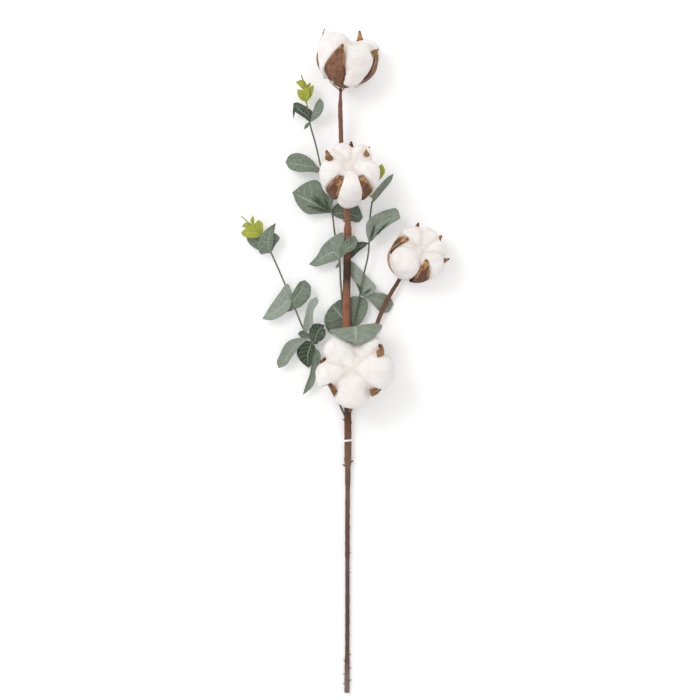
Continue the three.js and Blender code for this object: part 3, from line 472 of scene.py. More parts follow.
LEAVES = {
    "spray_a": [
        Leaf(0.1, (-30, 464, 12.8), (-43.5, 480, 9), (1.5, 2), 1.5,
             [(-33.5, 467), (-36.5, 469), (-43, 474)], [(-27.5, 472), (-31.5, 476), (-40, 480.5)]),
        Leaf(0.5, (-30, 464, 12.8), (-22, 484, 17), (1, 1.5), 1,
             [(-27.5, 474), (-25, 480)], [(-22.5, 469), (-19.5, 473.5), (-19, 480)]),
        Leaf(0.3, (-30, 464.5, 12.4), (-35, 458.5, 11), (0.3, 0.3), 0.3,
             [(-31.5, 460.5)], [(-33.5, 463)]),
        Leaf(0.1, (-41.8, 480.6, 9.6), (-43.4, 467, 8), (0.3, 0.3), 0.4,
             [(-44, 475)], [(-42, 474.5)]),
        Leaf(0.45, (-20.8, 426.5, 10.4), (-50, 432, 9), (1, 1.5), 2,
             [(-23.5, 423.5), (-29, 424), (-39, 424), (-46.5, 426.5)],
             [(-24, 428.5), (-27.5, 433), (-32.5, 437), (-40.5, 439.5), (-47, 437.5)]),
        Leaf(0.45, (-12.6, 391, 5.8), (-44.5, 407.5, 9), (2, 2.5), 2,
             [(-23.5, 390), (-32.5, 390), (-40, 397)],
             [(-15.5, 401), (-18, 409), (-24.5, 417.5), (-33.5, 415.5)]),
        Leaf(0.25, (-12.4, 391.5, 5.9), (-15.5, 415.5, 12), (1, 0.5), 2,
             [(-18.5, 398), (-20.5, 407.5)], [(-11.5, 398.5), (-9.5, 407.5)]),
        Leaf(0.35, (-12.4, 390, 5.2), (13, 387.5, 1.6), (-0.3, 0), -0.8,
             [(-12, 394), (-8, 398.5), (1, 400.5), (9, 397)],
             [(-7.5, 387), (2.5, 384.5), (9.5, 383.5)]),
        Leaf(0.6, (-6, 353, 9.4), (-31, 349, 8), (1, 2.5), 1.5,
             [(-10.5, 351.5), (-18, 349), (-25, 347)],
             [(-2.5, 364.5), (-3, 375), (-10.5, 372), (-19.5, 364.5), (-24, 356.5)]),
        Leaf(0.35, (-6, 353, 9.4), (9, 368, 13), (0.5, 0.5), 2,
             [(-5, 363), (0, 369.5), (5.5, 372.5)], [(0, 358), (6.5, 361.5)]),
        Leaf(0.3, (-5.9, 351, 9), (-9.5, 346, 7.5), (0.2, 0.2), 0.2,
             [(-6.5, 347)], [(-8, 349)]),
    ],
    "spray_b": [
        Leaf(0.5, (-61.5, 358.5, 10.6), (-82, 373.5, 5), (1, 1), 1,
             [(-69, 359.5), (-76.5, 363), (-81, 368)], [(-68, 368.5), (-75.5, 375)]),
        Leaf(0.4, (-61.5, 358, 11.3), (-57.5, 382.5, 16), (1.5, 0.5), 2,
             [(-65, 358), (-70, 357), (-72, 364), (-69, 373.5), (-62.5, 379.5)],
             [(-60, 364.5), (-59, 375)]),
        Leaf(0.35, (-61.3, 358.6, 11), (-54.5, 370.5, 11.5), (0.8, 0.8), 0.6,
             [(-61, 369.5), (-59.5, 374.5), (-56, 372.5)], [(-58, 365), (-55.5, 368)]),
        Leaf(0.85, (-45, 319.5, 8.6), (-69, 304.5, 9), (1.5, 2.8), 1.2,
             [(-47, 312.5), (-53, 307), (-61, 303.5)],
             [(-45, 327), (-48.5, 333.5), (-55, 325.5), (-62.5, 315)]),
        Leaf(0.35, (-45, 319, 8.4), (-34, 336, 12), (1.5, 1.5), 1,
             [(-45.5, 322.5), (-41.5, 330.5), (-38, 335)],
             [(-41.5, 313), (-35, 316.5), (-30, 323), (-29.5, 331.5)]),
        Leaf(0.3, (-44.5, 318.5, 8.2), (-49.5, 310, 6.5), (0.4, 0.4), 0.3,
             [(-43, 312.5)], [(-47, 316)]),
        Leaf(0.95, (-33, 293.5, 8.2), (-24.5, 322.5, 15), (2, 2), 1.5,
             [(-35.5, 296.5), (-34, 307.5), (-30, 319.5)], [(-28, 299.5), (-27, 311), (-23, 319)]),
        Leaf(0.1, (-27.5, 284.5, 7.8), (-18, 299.5, 8.5), (0.8, 0.8), 0.8,
             [(-31, 290.5), (-29, 299.5), (-23.5, 301)], [(-24.5, 284), (-21, 290.5)]),
        Leaf(0.2, (-30, 289, 8), (-40, 292.5, 6.5), (0.6, 0.6), 0.5,
             [(-35.5, 288)], [(-33.5, 295), (-37.5, 295)]),
        Leaf(0.7, (-30.5, 289, 8.3), (-55.5, 264.5, 8), (1.5, 1.5), 1.5,
             [(-38, 282.5), (-44, 274.5), (-49.5, 267)],
             [(-41.5, 289), (-49.5, 285), (-54.5, 276), (-57, 269.5)]),
        Leaf(-0.5, (-28.2, 286, 8), (-31.5, 265, 3), (1.2, 1.2), 1.5,
             [(-26, 280), (-27, 273), (-29, 267)],
             [(-34, 287), (-39, 282.5), (-41, 277.5), (-38, 270.5)]),
        Leaf(0.5, (-26.5, 281.5, 7.8), (-36, 242.5, 6), (1.4, 1.4), 2,
             [(-24, 269.5), (-25, 259), (-27.5, 250)],
             [(-28.5, 269.5), (-30.5, 259), (-34, 249.5)]),
        Leaf(0.5, (-26.5, 282, 7.8), (-23.5, 265, 10), (0.5, 0.5), 0.8,
             [(-22, 277.5), (-21.5, 271)], [(-26, 277.5), (-25, 270.5)]),
        Leaf(0.1, (-27.3, 284.5, 8), (-17.8, 297, 11), (0.4, 0.4), 0.8,
             [(-23.2, 290.5), (-20.6, 295)], [(-20, 287.5), (-17.2, 292)]),
    ],
    "spray_c": [
        Leaf(0.6, (19.9, 397.6, 12.2), (38, 422.5, 18), (1.8, 1.8), 1.5,
             [(22.5, 407.5), (27, 413.5), (33.5, 420)], [(26, 404), (30, 409), (36, 416.5)]),
        Leaf(0.7, (18, 366.5, 10.2), (43.5, 386.5, 17), (2, 1.5), 2,
             [(15.5, 375), (16, 382.5), (21, 388), (33.5, 393.5), (40.5, 394)],
             [(21, 368.5), (27, 375), (35, 381), (42, 385)]),
        Leaf(0.15, (18, 366.5, 9.6), (-1, 351, 1.4), (0, 0), -0.5,
             [(15.5, 364), (9, 359), (2.5, 353)], [(10.5, 367.5), (2.5, 364)]),
        Leaf(0.95, (10.6, 324.5, 7.6), (0, 352.5, 1.2), (-1.5, 2), 0,
             [(8, 331.5), (4, 338.5), (0, 346)],
             [(17, 323.5), (22.5, 326.5), (23.5, 331.5), (19.5, 336), (11.5, 344.5), (5, 351)]),
        Leaf(0.65, (10.6, 324, 7.4), (38, 316.5, 1.5), (0.6, 0.6), -0.4,
             [(17, 324.5), (22, 326), (30, 325.5), (35.5, 322)],
             [(17, 320.5), (22.5, 315), (27, 310.5), (33.5, 310)]),
        Leaf(0.3, (5.6, 295.6, 4.2), (-12, 316, 2), (0.5, -0.3), -0.5,
             [(-4, 292), (-14, 293), (-18.5, 303), (-16, 311)],
             [(5.5, 305.5), (2.5, 316.5), (-5, 320.5)]),
        Leaf(0.45, (6, 296.6, 4.4), (9.5, 323, 5.4), (-1.5, 0.8), 0,
             [(3, 302), (0.5, 313.5), (3.5, 322.5)], [(11.5, 301.5), (16.5, 311), (16, 320.5)]),
        Leaf(0.65, (5.9, 296.8, 4.1), (7.5, 282.5, 49), (0, 0), 0,
             [(9, 297.1, 12), (14, 298.3, 21), (23.5, 301, 30), (28.5, 299, 36), (25, 292.5, 42),
              (18.5, 286.7, 46), (11, 284.8, 48.2)],
             [(2.5, 296.8, 12), (-3, 296.6, 20), (-9, 296.2, 28), (-14, 295, 35), (-9, 290.7, 41.5),
              (-1.5, 287, 46), (4, 285.6, 48.2)],
             [(6.2, 297.2, 14), (6.6, 297.3, 26), (6.9, 295.6, 37), (7.2, 290.5, 45.3)]),
    ],
    "tip_a": [
        Leaf(0.5, (-33.6, 488.5, 15.4), (-41.5, 497, 14), (0.6, 0.6), 1,
             [(-36.5, 491.5), (-40, 495)], [(-32.5, 493.5), (-34.5, 498), (-38, 498.5)]),
        Leaf(0.5, (-33, 480.6, 15), (-40.5, 491, 12.5), (0.5, 1), 1,
             [(-37.5, 482.5), (-40, 486.5)], [(-33.5, 486.5), (-36.5, 490.5)]),
        Leaf(0.5, (-33, 480.4, 15.2), (-33.5, 493.5, 19), (0.4, 0.4), 1,
             [(-35.5, 483), (-36, 489.5)], [(-30.5, 483), (-31, 490.5)]),
        Leaf(0.5, (-32.8, 480.5, 15), (-27, 494.5, 15), (0.8, 0.5), 1,
             [(-32, 486.5), (-31, 492)], [(-29, 485), (-27, 490.5)]),
        Leaf(0.5, (-33.6, 490.5, 15.6), (-29, 496.5, 14), (0.2, 0.2), 0.4,
             [(-32, 495)], [(-30.3, 493)]),
    ],
    "tip_b": [
        Leaf(0.5, (-76, 379.8, 13.8), (-76.5, 389, 15), (0.3, 0.3), 0.4,
             [(-78.5, 384)], [(-75.2, 385.5)]),
        Leaf(0.5, (-76, 379.8, 13.8), (-85.5, 379.5, 12), (0.3, 0.3), 0.6,
             [(-82, 378.6)], [(-82, 383)]),
        Leaf(0.5, (-68.6, 372.8, 12.6), (-86, 375, 12), (0.8, 1.2), 1.6,
             [(-73, 370.5), (-80.5, 370.5), (-84.5, 372)],
             [(-69, 378.5), (-74.5, 382.5), (-81, 379)]),
        Leaf(0.5, (-68.6, 372.8, 12.8), (-71.5, 385, 15.5), (0.6, 0.6), 1,
             [(-72.5, 376), (-74, 383)], [(-68, 377), (-68.5, 382.5)]),
    ],
    "tip_c": [
        Leaf(0.5, (25, 416, 13.5), (28.5, 430.5, 14.5), (0.6, 0.6), 0.8,
             [(25, 423), (26, 428.5)], [(28.5, 419.5), (31, 424.5)]),
        Leaf(0.5, (21, 402.6, 13.2), (19.5, 409, 15), (0.4, 0.4), 0.4,
             [(16.8, 405)], [(23.5, 405.5)]),
    ],
}


# Finishes
def paint(red, green, blue):
    """A colour given as it is seen on a screen, 0 to 255."""
    shares = [c / 255 for c in (red, green, blue)]
    return (*[s / 12.92 if s <= 0.04045 else ((s + 0.055) / 1.055) ** 2.4 for s in shares], 1.0)


def operator(operation, swap=False):
    """Method of a value that adds a Math node. With swap the other value comes first."""
    return lambda value, other: value.maths(operation, other, swap=swap)


class Value:
    """A socket of a shader that takes part in sums."""

    __add__ = __radd__ = operator("ADD")
    __sub__, __rsub__ = operator("SUBTRACT"), operator("SUBTRACT", swap=True)
    __mul__ = __rmul__ = operator("MULTIPLY")
    __truediv__, __rtruediv__ = operator("DIVIDE"), operator("DIVIDE", swap=True)

    def __init__(self, finish, socket):
        self.finish, self.socket = finish, socket

    def maths(self, operation, *others, swap=False):
        terms = [*others, self] if swap else [self, *others]
        return self.finish.add("ShaderNodeMath", {"operation": operation}, terms)

    def between(self, low, high):
        """0 below low, 1 above high, a soft step between; the other way round if low is higher."""
        settings = {"interpolation_type": "SMOOTHSTEP"}
        return self.finish.add("ShaderNodeMapRange", settings, [self, low, high, 0.0, 1.0])

    def size(self):
        return self.maths("ABSOLUTE")

    def fraction(self):
        return self.maths("FRACT")


class Finish:
    """One material, built up node by node."""

    def __init__(self, name, **numbers):
        self.material = bpy.data.materials.new(name)
        self.material.use_nodes = True
        self.tree = self.material.node_tree
        self.shader = self.tree.nodes["Principled BSDF"]
        self.surface(**numbers)

    def feed(self, socket, value):
        if isinstance(value, Value):
            self.tree.links.new(value.socket, socket)
        else:
            socket.default_value = value

    def add(self, kind, settings, inputs, output=0):
        """Settings, such as a ramp's stops, go first. Inputs are sockets' values or links."""
        node = self.tree.nodes.new(kind)
        for key, value in settings.items():
            if key == "stops":
                self.set_stops(node.color_ramp.elements, value)
            else:
                setattr(node, key, value)
        pairs = inputs.items() if isinstance(inputs, dict) else enumerate(inputs)
        for key, value in pairs:
            self.feed(node.inputs[key], value)
        return Value(self, node.outputs[output])

    @staticmethod
    def set_stops(elements, stops):
        while len(elements) < len(stops):
            elements.new(0.5)
        for element, (place, _) in zip(elements, stops):
            element.position = place
        for element, (_, tone) in zip(elements, stops):
            element.color = tone

    def blend(self, colour, *coats):
        """A colour with others laid over it, each given with its share."""
        for coat, share in coats:
            first, second = (c if isinstance(c, Value) else paint(*c) for c in (colour, coat))
            inputs = {0: share, 6: first, 7: second}
            colour = self.add("ShaderNodeMix", {"data_type": "RGBA"}, inputs, output=2)
        return colour

    def vector(self, operation, *terms):
        return self.add("ShaderNodeVectorMath", {"operation": operation}, terms)

    def parts(self, vector):
        return [self.add("ShaderNodeSeparateXYZ", {}, [vector], output=k) for k in range(3)]

    def join(self, *terms):
        return self.add("ShaderNodeCombineXYZ", {}, terms)

    def place(self):
        return self.add("ShaderNodeAttribute", {"attribute_name": "place"}, [], output="Vector")

    def spot(self, stretch=(1, 1, 1)):
        """Place on the object in millimetres."""
        at = self.add("ShaderNodeTexCoord", {}, [], output="Object")
        return self.vector("MULTIPLY", at, tuple(s / MM for s in stretch))

    def noise(self, at, size, detail=2.0, rough=0.5):
        inputs = {"Vector": at, "Scale": 1 / size, "Detail": detail, "Roughness": rough}
        return self.add("ShaderNodeTexNoise", {}, inputs)

    def bump(self, height, depth, strength):
        """Relief of the height, whose 0 to 1 stands for depth in millimetres."""
        inputs = {"Strength": strength, "Distance": depth * MM, "Height": height}
        return self.add("ShaderNodeBump", {}, inputs)

    def surface(self, **links):
        for socket, value in links.items():
            title = socket.replace("_", " ").title().replace("Ior", "IOR")
            self.feed(self.shader.inputs[title], value)
        return self.material


def cotton_finish():
    look = Finish(
        "cotton_fibre", roughness=1.0, specular_ior_level=0.1, sheen_weight=0.25,
        sheen_roughness=0.5,
    )
    crease_shade, husk_side_shade, _ = look.parts(look.place())
    spot = look.spot()
    cloud = look.noise(spot, 7.0, 4.0, 0.6)
    strands = look.noise(look.spot((1, 1, 0.4)), 0.7, 4.0, 0.7)
    fluff = look.noise(spot, 2.6, 4.0, 0.6)
    # Which way the cotton faces, read only for painted shade on its sides and underside
    facing = look.add("ShaderNodeTexCoord", {}, [], output="Normal")
    facing_up_for_shade = look.parts(facing)[2]
    colour = look.blend(
        (248, 243, 239),
        ((237, 231, 226), cloud.between(0.35, 0.75)),
        # painted shade: the cotton greys where it lies deep in the creases between locks
        ((226, 219, 212), crease_shade * 0.15),
        # painted shade: a warm shade on the cotton beside the husk valves that press on it
        ((214, 196, 180), husk_side_shade * 0.3),
        ((222, 217, 212), strands.between(0.55, 0.8) * 0.5),
        # painted shade: the cotton's sides and underside greyed by which way they face
        ((206, 200, 196), facing_up_for_shade.between(0.55, -0.1) * 0.6),
    )
    height = fluff * 0.6 + strands * 0.4
    return look.surface(base_color=colour, normal=look.bump(height, 0.5, 0.5))


def coded(value, code):
    """Whether a value holds a code, as 0 or 1, and what is left of it."""
    held = value.between(code - 0.5, code - 0.4)
    return held, value - held * code


def husk_finish():
    look = Finish("dry_husk", roughness=0.72, specular_ior_level=0.35)
    across, along, code = look.parts(look.place())
    green, code = coded(code, OLIVE)
    inner, code = coded(code, LINING)
    rim = code.between(0.1, 0.2)
    spot = look.spot()
    grain = look.noise(look.join(across * 9, along * 1.6, inner), 1.0, 5.0, 0.65)
    patch = look.noise(spot, 4.5, 3.0, 0.6)
    speck = look.noise(spot, 0.5, 2.0, 0.6)
    mottle = (grain * 0.5 + patch * 0.5).between(0.35, 0.65)
    bark = look.blend((98, 62, 46), ((150, 108, 80), mottle))
    lining = look.blend((158, 118, 80), ((124, 88, 58), patch.between(0.4, 0.65)))
    olive = patch.between(0.4, 0.6) * along.between(0.8, 0.6) * green
    upper = along.between(0.5, 0.72)
    edge = (across.size() + patch * 0.3 + rim * 0.2).between(0.92, 1.12)
    edge_tone = look.blend((82, 50, 38), ((196, 146, 96), upper))
    thorn = look.blend((126, 82, 54), ((208, 158, 106), patch.between(0.45, 0.55)))
    colour = look.blend(
        bark,
        (lining, inner),
        ((122, 116, 58), olive * 0.8),
        ((86, 56, 42), rim * along.between(0.95, 0.75) * 0.6),
        (edge_tone, edge * 0.8),
        (thorn, (along + rim * 0.06).between(0.84, 0.93) * 0.85),
        ((90, 58, 44), along.between(0.97, 1.0) * 0.8),
        ((64, 40, 30), speck.between(0.62, 0.75) * 0.35),
    )
    relief = look.bump(grain * 0.7 + speck * 0.3, 0.5, 0.8)
    return look.surface(base_color=colour, roughness=0.62 + grain * 0.25, normal=relief)


# The dark stretch round 338 to 350 mm is painted shade
TAPE_TONES_AND_SHADE = [  # distance from the foot and colour
    (0, (130, 110, 108)), (14, (126, 106, 102)), (22, (112, 92, 80)), (30, (100, 76, 60)),
    (74, (96, 72, 62)), (84, (102, 82, 80)), (94, (92, 72, 68)), (104, (116, 88, 88)),
    (114, (102, 72, 70)), (140, (102, 74, 62)), (158, (120, 94, 82)), (172, (108, 80, 66)),
    (188, (122, 94, 80)), (204, (116, 84, 66)), (215, (112, 74, 56)), (223, (96, 66, 48)),
    (230, (66, 56, 40)), (240, (92, 66, 52)), (270, (130, 84, 62)), (296, (158, 104, 80)),
    (316, (160, 100, 76)), (329, (132, 96, 74)), (338, (64, 46, 34)), (350, (66, 46, 32)),
    (360, (124, 80, 60)), (370, (160, 106, 84)), (390, (166, 112, 92)), (440, (140, 100, 84)),
    (470, (132, 92, 76)), (492, (132, 98, 86)),
]
# A branch stem darkens toward its boll by blending into the painted shade at 338 mm
BRANCH_TONES = (323, 335.5)  # a branch stem takes the tones between these distances
BREAK_AT = 205.4  # a ring of bare white paper, seen slanted across the stem
BREAK_HALF = 0.75
BREAK_SLANT = -0.1


def tape_finish():
    look = Finish("paper_tape", roughness=0.78, specular_ior_level=0.3)
    length_along, turn, from_end = look.parts(look.place())
    fibre = look.noise(look.spot((1, 0.22, 1)), 0.7, 4.0, 0.65)
    patch = look.noise(look.spot((1, 0.5, 1)), 5.0, 3.0, 0.55)
    longest = TAPE_TONES_AND_SHADE[-1][0]
    stops = [(distance / longest, paint(*tone)) for distance, tone in TAPE_TONES_AND_SHADE]
    wrap = (length_along / TAPE_PITCH + turn).fraction()
    seam = wrap.between(0.93, 0.985) - wrap.between(0.985, 1.0)
    from_break = (from_end - BREAK_AT + look.parts(look.spot())[0] * BREAK_SLANT).size()
    colour = look.blend(
        look.add("ShaderNodeValToRGB", {"stops": stops}, [from_end / longest]),
        ((72, 44, 34), patch.between(0.5, 0.75) * 0.35),
        ((182, 146, 126), fibre.between(0.55, 0.8) * 0.35),
        ((66, 42, 32), seam * 0.45),
        ((250, 248, 246), from_break.between(BREAK_HALF + 0.15, BREAK_HALF - 0.1)),
    )
    relief = look.bump(fibre * 0.6 + seam * 0.4, 0.35, 0.7)
    return look.surface(base_color=colour, normal=relief)


def leaf_finish(name, dark, middle, light, vein, under):
    look = Finish(name, roughness=0.8, specular_ior_level=0.3)
    across, along, tone = look.parts(look.place())
    back, shade = coded(tone, UNDERSIDE)
    spot = look.spot()
    patch = look.noise(spot, 6.0, 4.0, 0.6)
    frost = look.noise(spot, 0.8, 4.0, 0.7)
    side = across.size()
    stray = look.noise(spot, 3.5)
    ribs = ((along - side * 0.17) * 8 + stray * 0.9).fraction()
    rib = (ribs - 0.5).size().between(0.16, 0.02) * side.between(1.0, 0.75)
    midrib = (side + stray * 0.04).between(0.1, 0.05) * along.between(1.0, 0.7)
    colour = look.blend(
        dark,
        (middle, (shade + patch * 0.5).between(0.25, 0.75)),
        (light, (shade + patch * 0.6).between(0.7, 1.35)),
        (vein, (rib * 0.16).maths("MAXIMUM", midrib * 0.45)),
        (vein, frost.between(0.56, 0.7) * 0.5),
        (dark, frost.between(0.46, 0.36) * 0.45),
        (vein, side.between(0.93, 1.0) * 0.35),
        (under, back * 0.7),
    )
    height = frost * 0.5 + rib * 0.5 + midrib
    return look.surface(base_color=colour, normal=look.bump(height, 0.25, 0.6))


def wire_finish():
    look = Finish("green_wire", roughness=0.6)
    patch = look.noise(look.spot(), 9.0)
    fibre = look.noise(look.spot((1, 0.3, 1)), 0.6, 3.0, 0.6)
    colour = look.blend(
        (84, 96, 80),
        ((118, 112, 84), patch.between(0.4, 0.65)),
        ((58, 62, 52), fibre.between(0.55, 0.8) * 0.6),
    )
    return look.surface(base_color=colour, normal=look.bump(fibre, 0.15, 0.5))


def floor_finish():
    look = Finish("pale_table", roughness=0.95, specular_ior_level=0.1, emission_strength=0.2)
    grain = look.noise(look.spot(), 40.0)
    colour = look.blend((250, 250, 250), ((248, 248, 248), grain))
    return look.surface(base_color=colour, emission_color=colour)


COTTON = cotton_finish()
HUSK = husk_finish()
TAPE = tape_finish()
LEAF = leaf_finish(
    "eucalyptus", dark=(60, 74, 56), middle=(122, 134, 117), light=(160, 169, 157),
    vein=(200, 205, 192), under=(62, 80, 55),
)
LIME = leaf_finish(
    "young_leaf", dark=(112, 120, 34), middle=(162, 168, 58), light=(198, 204, 98),
    vein=(216, 218, 140), under=(112, 116, 46),
)
WIRE = wire_finish()


# Bolls
def boll_axes(boll):
    """Right, up and mouth directions of a boll, one to a row."""
    mouth = unit(np.array(boll["axis"], float))
    right = unit(np.array([1.0, 0, 0]) - mouth * mouth[0])
    return np.stack([right, np.cross(mouth, right), mouth])


def placed(boll, points):
    return points @ boll_axes(boll) + from_foot(boll["centre"])


def neck(boll):
    depth = boll["height"] * boll["seat"] + CUP_HEIGHT * boll["radius"] + GAP
    return placed(boll, np.array([0, 0, -depth]))


def envelope(boll, polar):
    return 1 / np.hypot(np.sin(polar) / boll["radius"], np.cos(polar) / boll["height"])


def valve_law(boll, spec, polar):
    """Share of length, distance out and half width of a valve at a polar angle from the mouth."""
    _, tip_polar, half_width, thorn, _ = spec
    root, tip = math.radians(VALVE_ROOT_POLAR), math.radians(tip_polar)
    along = (polar - root) / (tip - root)
    flare = np.maximum(0, (along - FLARE_FROM) / (1 - FLARE_FROM)) ** FLARE_POWER
    reached = envelope(boll, polar) * boll["seat"] + thorn * boll["radius"] * flare
    outline = softened(VALVE_OUTLINE, along)
    if tip_polar < BROAD_BELOW and "broad" in boll:
        outline = outline ** boll["broad"] * np.clip(0.3 + 1.2 * along, 0.3, 1)
    return along, reached, outline * half_width * boll["radius"]


def valve_directions(spec, along):
    """Directions away from the axis and sideways, which turn a little where a valve leans."""
    azimuth, *_, lean = spec
    azimuth = np.radians(azimuth + lean * np.clip(along, 0, 1))
    zero = np.zeros_like(azimuth)
    ahead = np.stack([np.cos(azimuth), np.sin(azimuth), zero], axis=-1)
    return ahead, np.stack([-np.sin(azimuth), np.cos(azimuth), zero], axis=-1)


def valve_ridge(along, across):
    arch = np.sin(math.pi * np.clip(along * 1.05, 0, 1))
    return RIDGE * (1 - np.clip(np.abs(across), 0, 1)) ** 1.3 * arch


def crinkles(share, across, lengthways, sideways, size, seed):
    """Soft random height over a valve, from how far its length and width stretch the lumps."""
    points = np.stack([share * lengthways, across * sideways, 0 * share], axis=-1)
    return wander(points.reshape(-1, 3), size, seed).reshape(share.shape)


def valve(boll, spec, seed, olive):
    """Pointed husk valve. A place is its share across and along, and the code for its finish."""
    _, tip_polar, *_ = spec
    root, tip = math.radians(VALVE_ROOT_POLAR), math.radians(tip_polar)
    rows, columns = 34, 15
    share = np.linspace(0, 1, rows)[:, None] * np.ones(columns)
    across = np.ones(rows)[:, None] * np.linspace(-1, 1, columns)
    polar = root + (tip - root) * (share * 0.6 + 0.4 * share ** 0.8)
    along, reached, width = valve_law(boll, spec, polar)
    ahead, aside = valve_directions(spec, along)
    out = ahead * np.sin(polar)[..., None] + UP * np.cos(polar)[..., None]
    ragged = crinkles(share, across, 22, 4, 2.2, seed)
    width = width * (1 + RAGGED * ragged * np.sin(math.pi * share))
    sag = (across * width) ** 2 / (SAG * boll["radius"])
    middle = out * (reached - sag)[..., None] + aside * (across * width)[..., None]
    folds = crinkles(share, across, 9, 9, 2.0, seed + 9)
    folds = folds * FOLD * np.sin(math.pi * np.clip(share * 1.1, 0, 1))
    thin = VALVE_THICKNESS / 2 * (1 - 0.45 * np.abs(across) ** 3)
    front = middle + out * (thin + folds)[..., None]
    back = middle - out * (thin - folds + valve_ridge(along, across))[..., None]
    points, faces = skin(front, back)
    flat = np.stack([across, share, 0 * share], axis=-1).reshape(-1, 3)
    flat = flat + [0, 0, OLIVE * olive + boll.get("rim", 0)]
    return placed(boll, points), faces, np.vstack([flat, flat + [0, 0, LINING]])


def trim(line, radius_at, sides, steps, place):
    """Thin bar of the husk, with one place for its finish all over."""
    points, faces, _ = bar(Route([*map(from_foot, line)]), radius_at, sides, steps)
    return points, faces, np.tile(place, (len(points), 1))


def calyx(line):
    """Thin dry bract that leaves the stem below a boll."""
    return trim(line, lambda share, _: CALYX_RADIUS * (1.2 - 0.6 * share), 8, 24, [0.9, 0.2, 0])


def tan_edge(line):
    """Tan edge of a valve that shows beside the cotton."""
    radius_at = lambda share, _: EDGE_RADIUS * (0.5 + 0.5 * np.sin(math.pi * share))
    return trim(line, radius_at, 10, 40, [1.0, 0.76, 0])


def ball(subdivisions):
    shape = bmesh.new()
    bmesh.ops.create_icosphere(shape, subdivisions=subdivisions, radius=1.0)
    points = np.array([v.co[:] for v in shape.verts])
    faces = [tuple(v.index for v in face.verts) for face in shape.faces]
    shape.free()
    return points, faces


def bur(name, boll, seed):
    parts = Parts()
    points, faces = ball(subdivisions=4)
    radius, height = CUP_RADIUS * boll["radius"], CUP_HEIGHT * boll["radius"]
    cup = points * [radius, radius, height] - [0, 0, boll["height"] * boll["seat"]]
    parts.add(placed(boll, cup), faces, np.tile([0.4, 0.05, 0], (len(cup), 1)))
    for k, spec in enumerate(boll["valves"]):
        parts.add(*valve(boll, spec, seed + k, k in boll["olive"]))
    for line in boll.get("calyx", []):
        parts.add(*calyx(line))
    if "edge" in boll:
        parts.add(*tan_edge(boll["edge"]))
    for flap in boll.get("flaps", []):
        parts.add(*blade(flap, FLAP_THICKNESS, seed))
    parts.make(f"{name}_husk", f"{name}_bur", HUSK, "husk")


def lock(boll, azimuth, width, full, back, form):
    """One lock of cotton: an egg that leans out toward the mouth."""
    x, y, z = (form / (np.abs(form) ** FULLNESS).sum(1, keepdims=True) ** (1 / FULLNESS)).T
    radius = boll["radius"]
    swell = (1 + TAPER * z) * full
    ahead = radius * LOCK_OUT * (1 + TAPER * z) + x * radius * LOCK_DEPTH * swell
    aside = y * radius * width * swell
    return np.stack([
        ahead * math.cos(azimuth) - aside * math.sin(azimuth),
        ahead * math.sin(azimuth) + aside * math.cos(azimuth),
        z * boll["height"] * LOCK_HEIGHT * full - back,
    ], axis=-1)


def joined(points, faces):
    """One closed surface round several forms, in even small faces: points, normals and faces."""
    mesh = add_mesh("forms", points, faces)
    form = add_object("forms", mesh)
    remesh = form.modifiers.new("join", "REMESH")
    remesh.mode = "VOXEL"
    remesh.voxel_size = VOXEL
    smooth = form.modifiers.new("smooth", "SMOOTH")
    smooth.factor = 0.5
    smooth.iterations = SMOOTHING
    bpy.context.view_layer.update()
    evaluated = form.evaluated_get(bpy.context.evaluated_depsgraph_get())
    result = bpy.data.meshes.new_from_object(evaluated)
    points = np.empty(len(result.vertices) * 3)
    normals = np.empty(len(result.vertices) * 3)
    result.vertices.foreach_get("co", points)
    result.vertex_normals.foreach_get("vector", normals)
    faces = [tuple(face.vertices) for face in result.polygons]
    bpy.data.objects.remove(form)
    bpy.data.meshes.remove(mesh)
    bpy.data.meshes.remove(result)
    return points.reshape(-1, 3), normals.reshape(-1, 3), faces


def polar_angle(points):
    return np.arctan2(np.hypot(points[:, 0], points[:, 1]), points[:, 2])


def pressed_in(boll, spec, points):
    """The cotton's points, drawn in where a valve lies on them, and how near it each one is."""
    ahead, aside = valve_directions(spec, valve_law(boll, spec, polar_angle(points))[0])
    side, away, depth = (points * aside).sum(1), (points * ahead).sum(1), points[:, 2]
    along, reached, width = valve_law(boll, spec, np.arctan2(np.maximum(away, 0), depth))
    beyond = np.maximum(0, np.abs(side) - width)
    limit = reached - side**2 / (SAG * boll["radius"]) - VALVE_THICKNESS / 2 - VALVE_ROOM
    limit = limit - valve_ridge(along, side / np.maximum(width, 0.5))
    limit = limit + beyond * (1.6 + 1.2 * beyond)
    limit = limit - TIP_ROOM * np.clip((along - 0.7) / 0.3, 0, 1)
    limit = limit + np.maximum(0, along - 1.0) * 60
    near = (away > 0) & (along > -0.1) & (beyond < 6)
    share = np.where(near, np.minimum(1, limit / np.maximum(np.hypot(away, depth), 1)), 1.0)
    drawn = (ahead * away[:, None] + UP * depth[:, None]) * (1 - share)[:, None]
    return points - drawn, np.where(near, np.clip(1 - beyond / 1.5, 0, 1), 0)


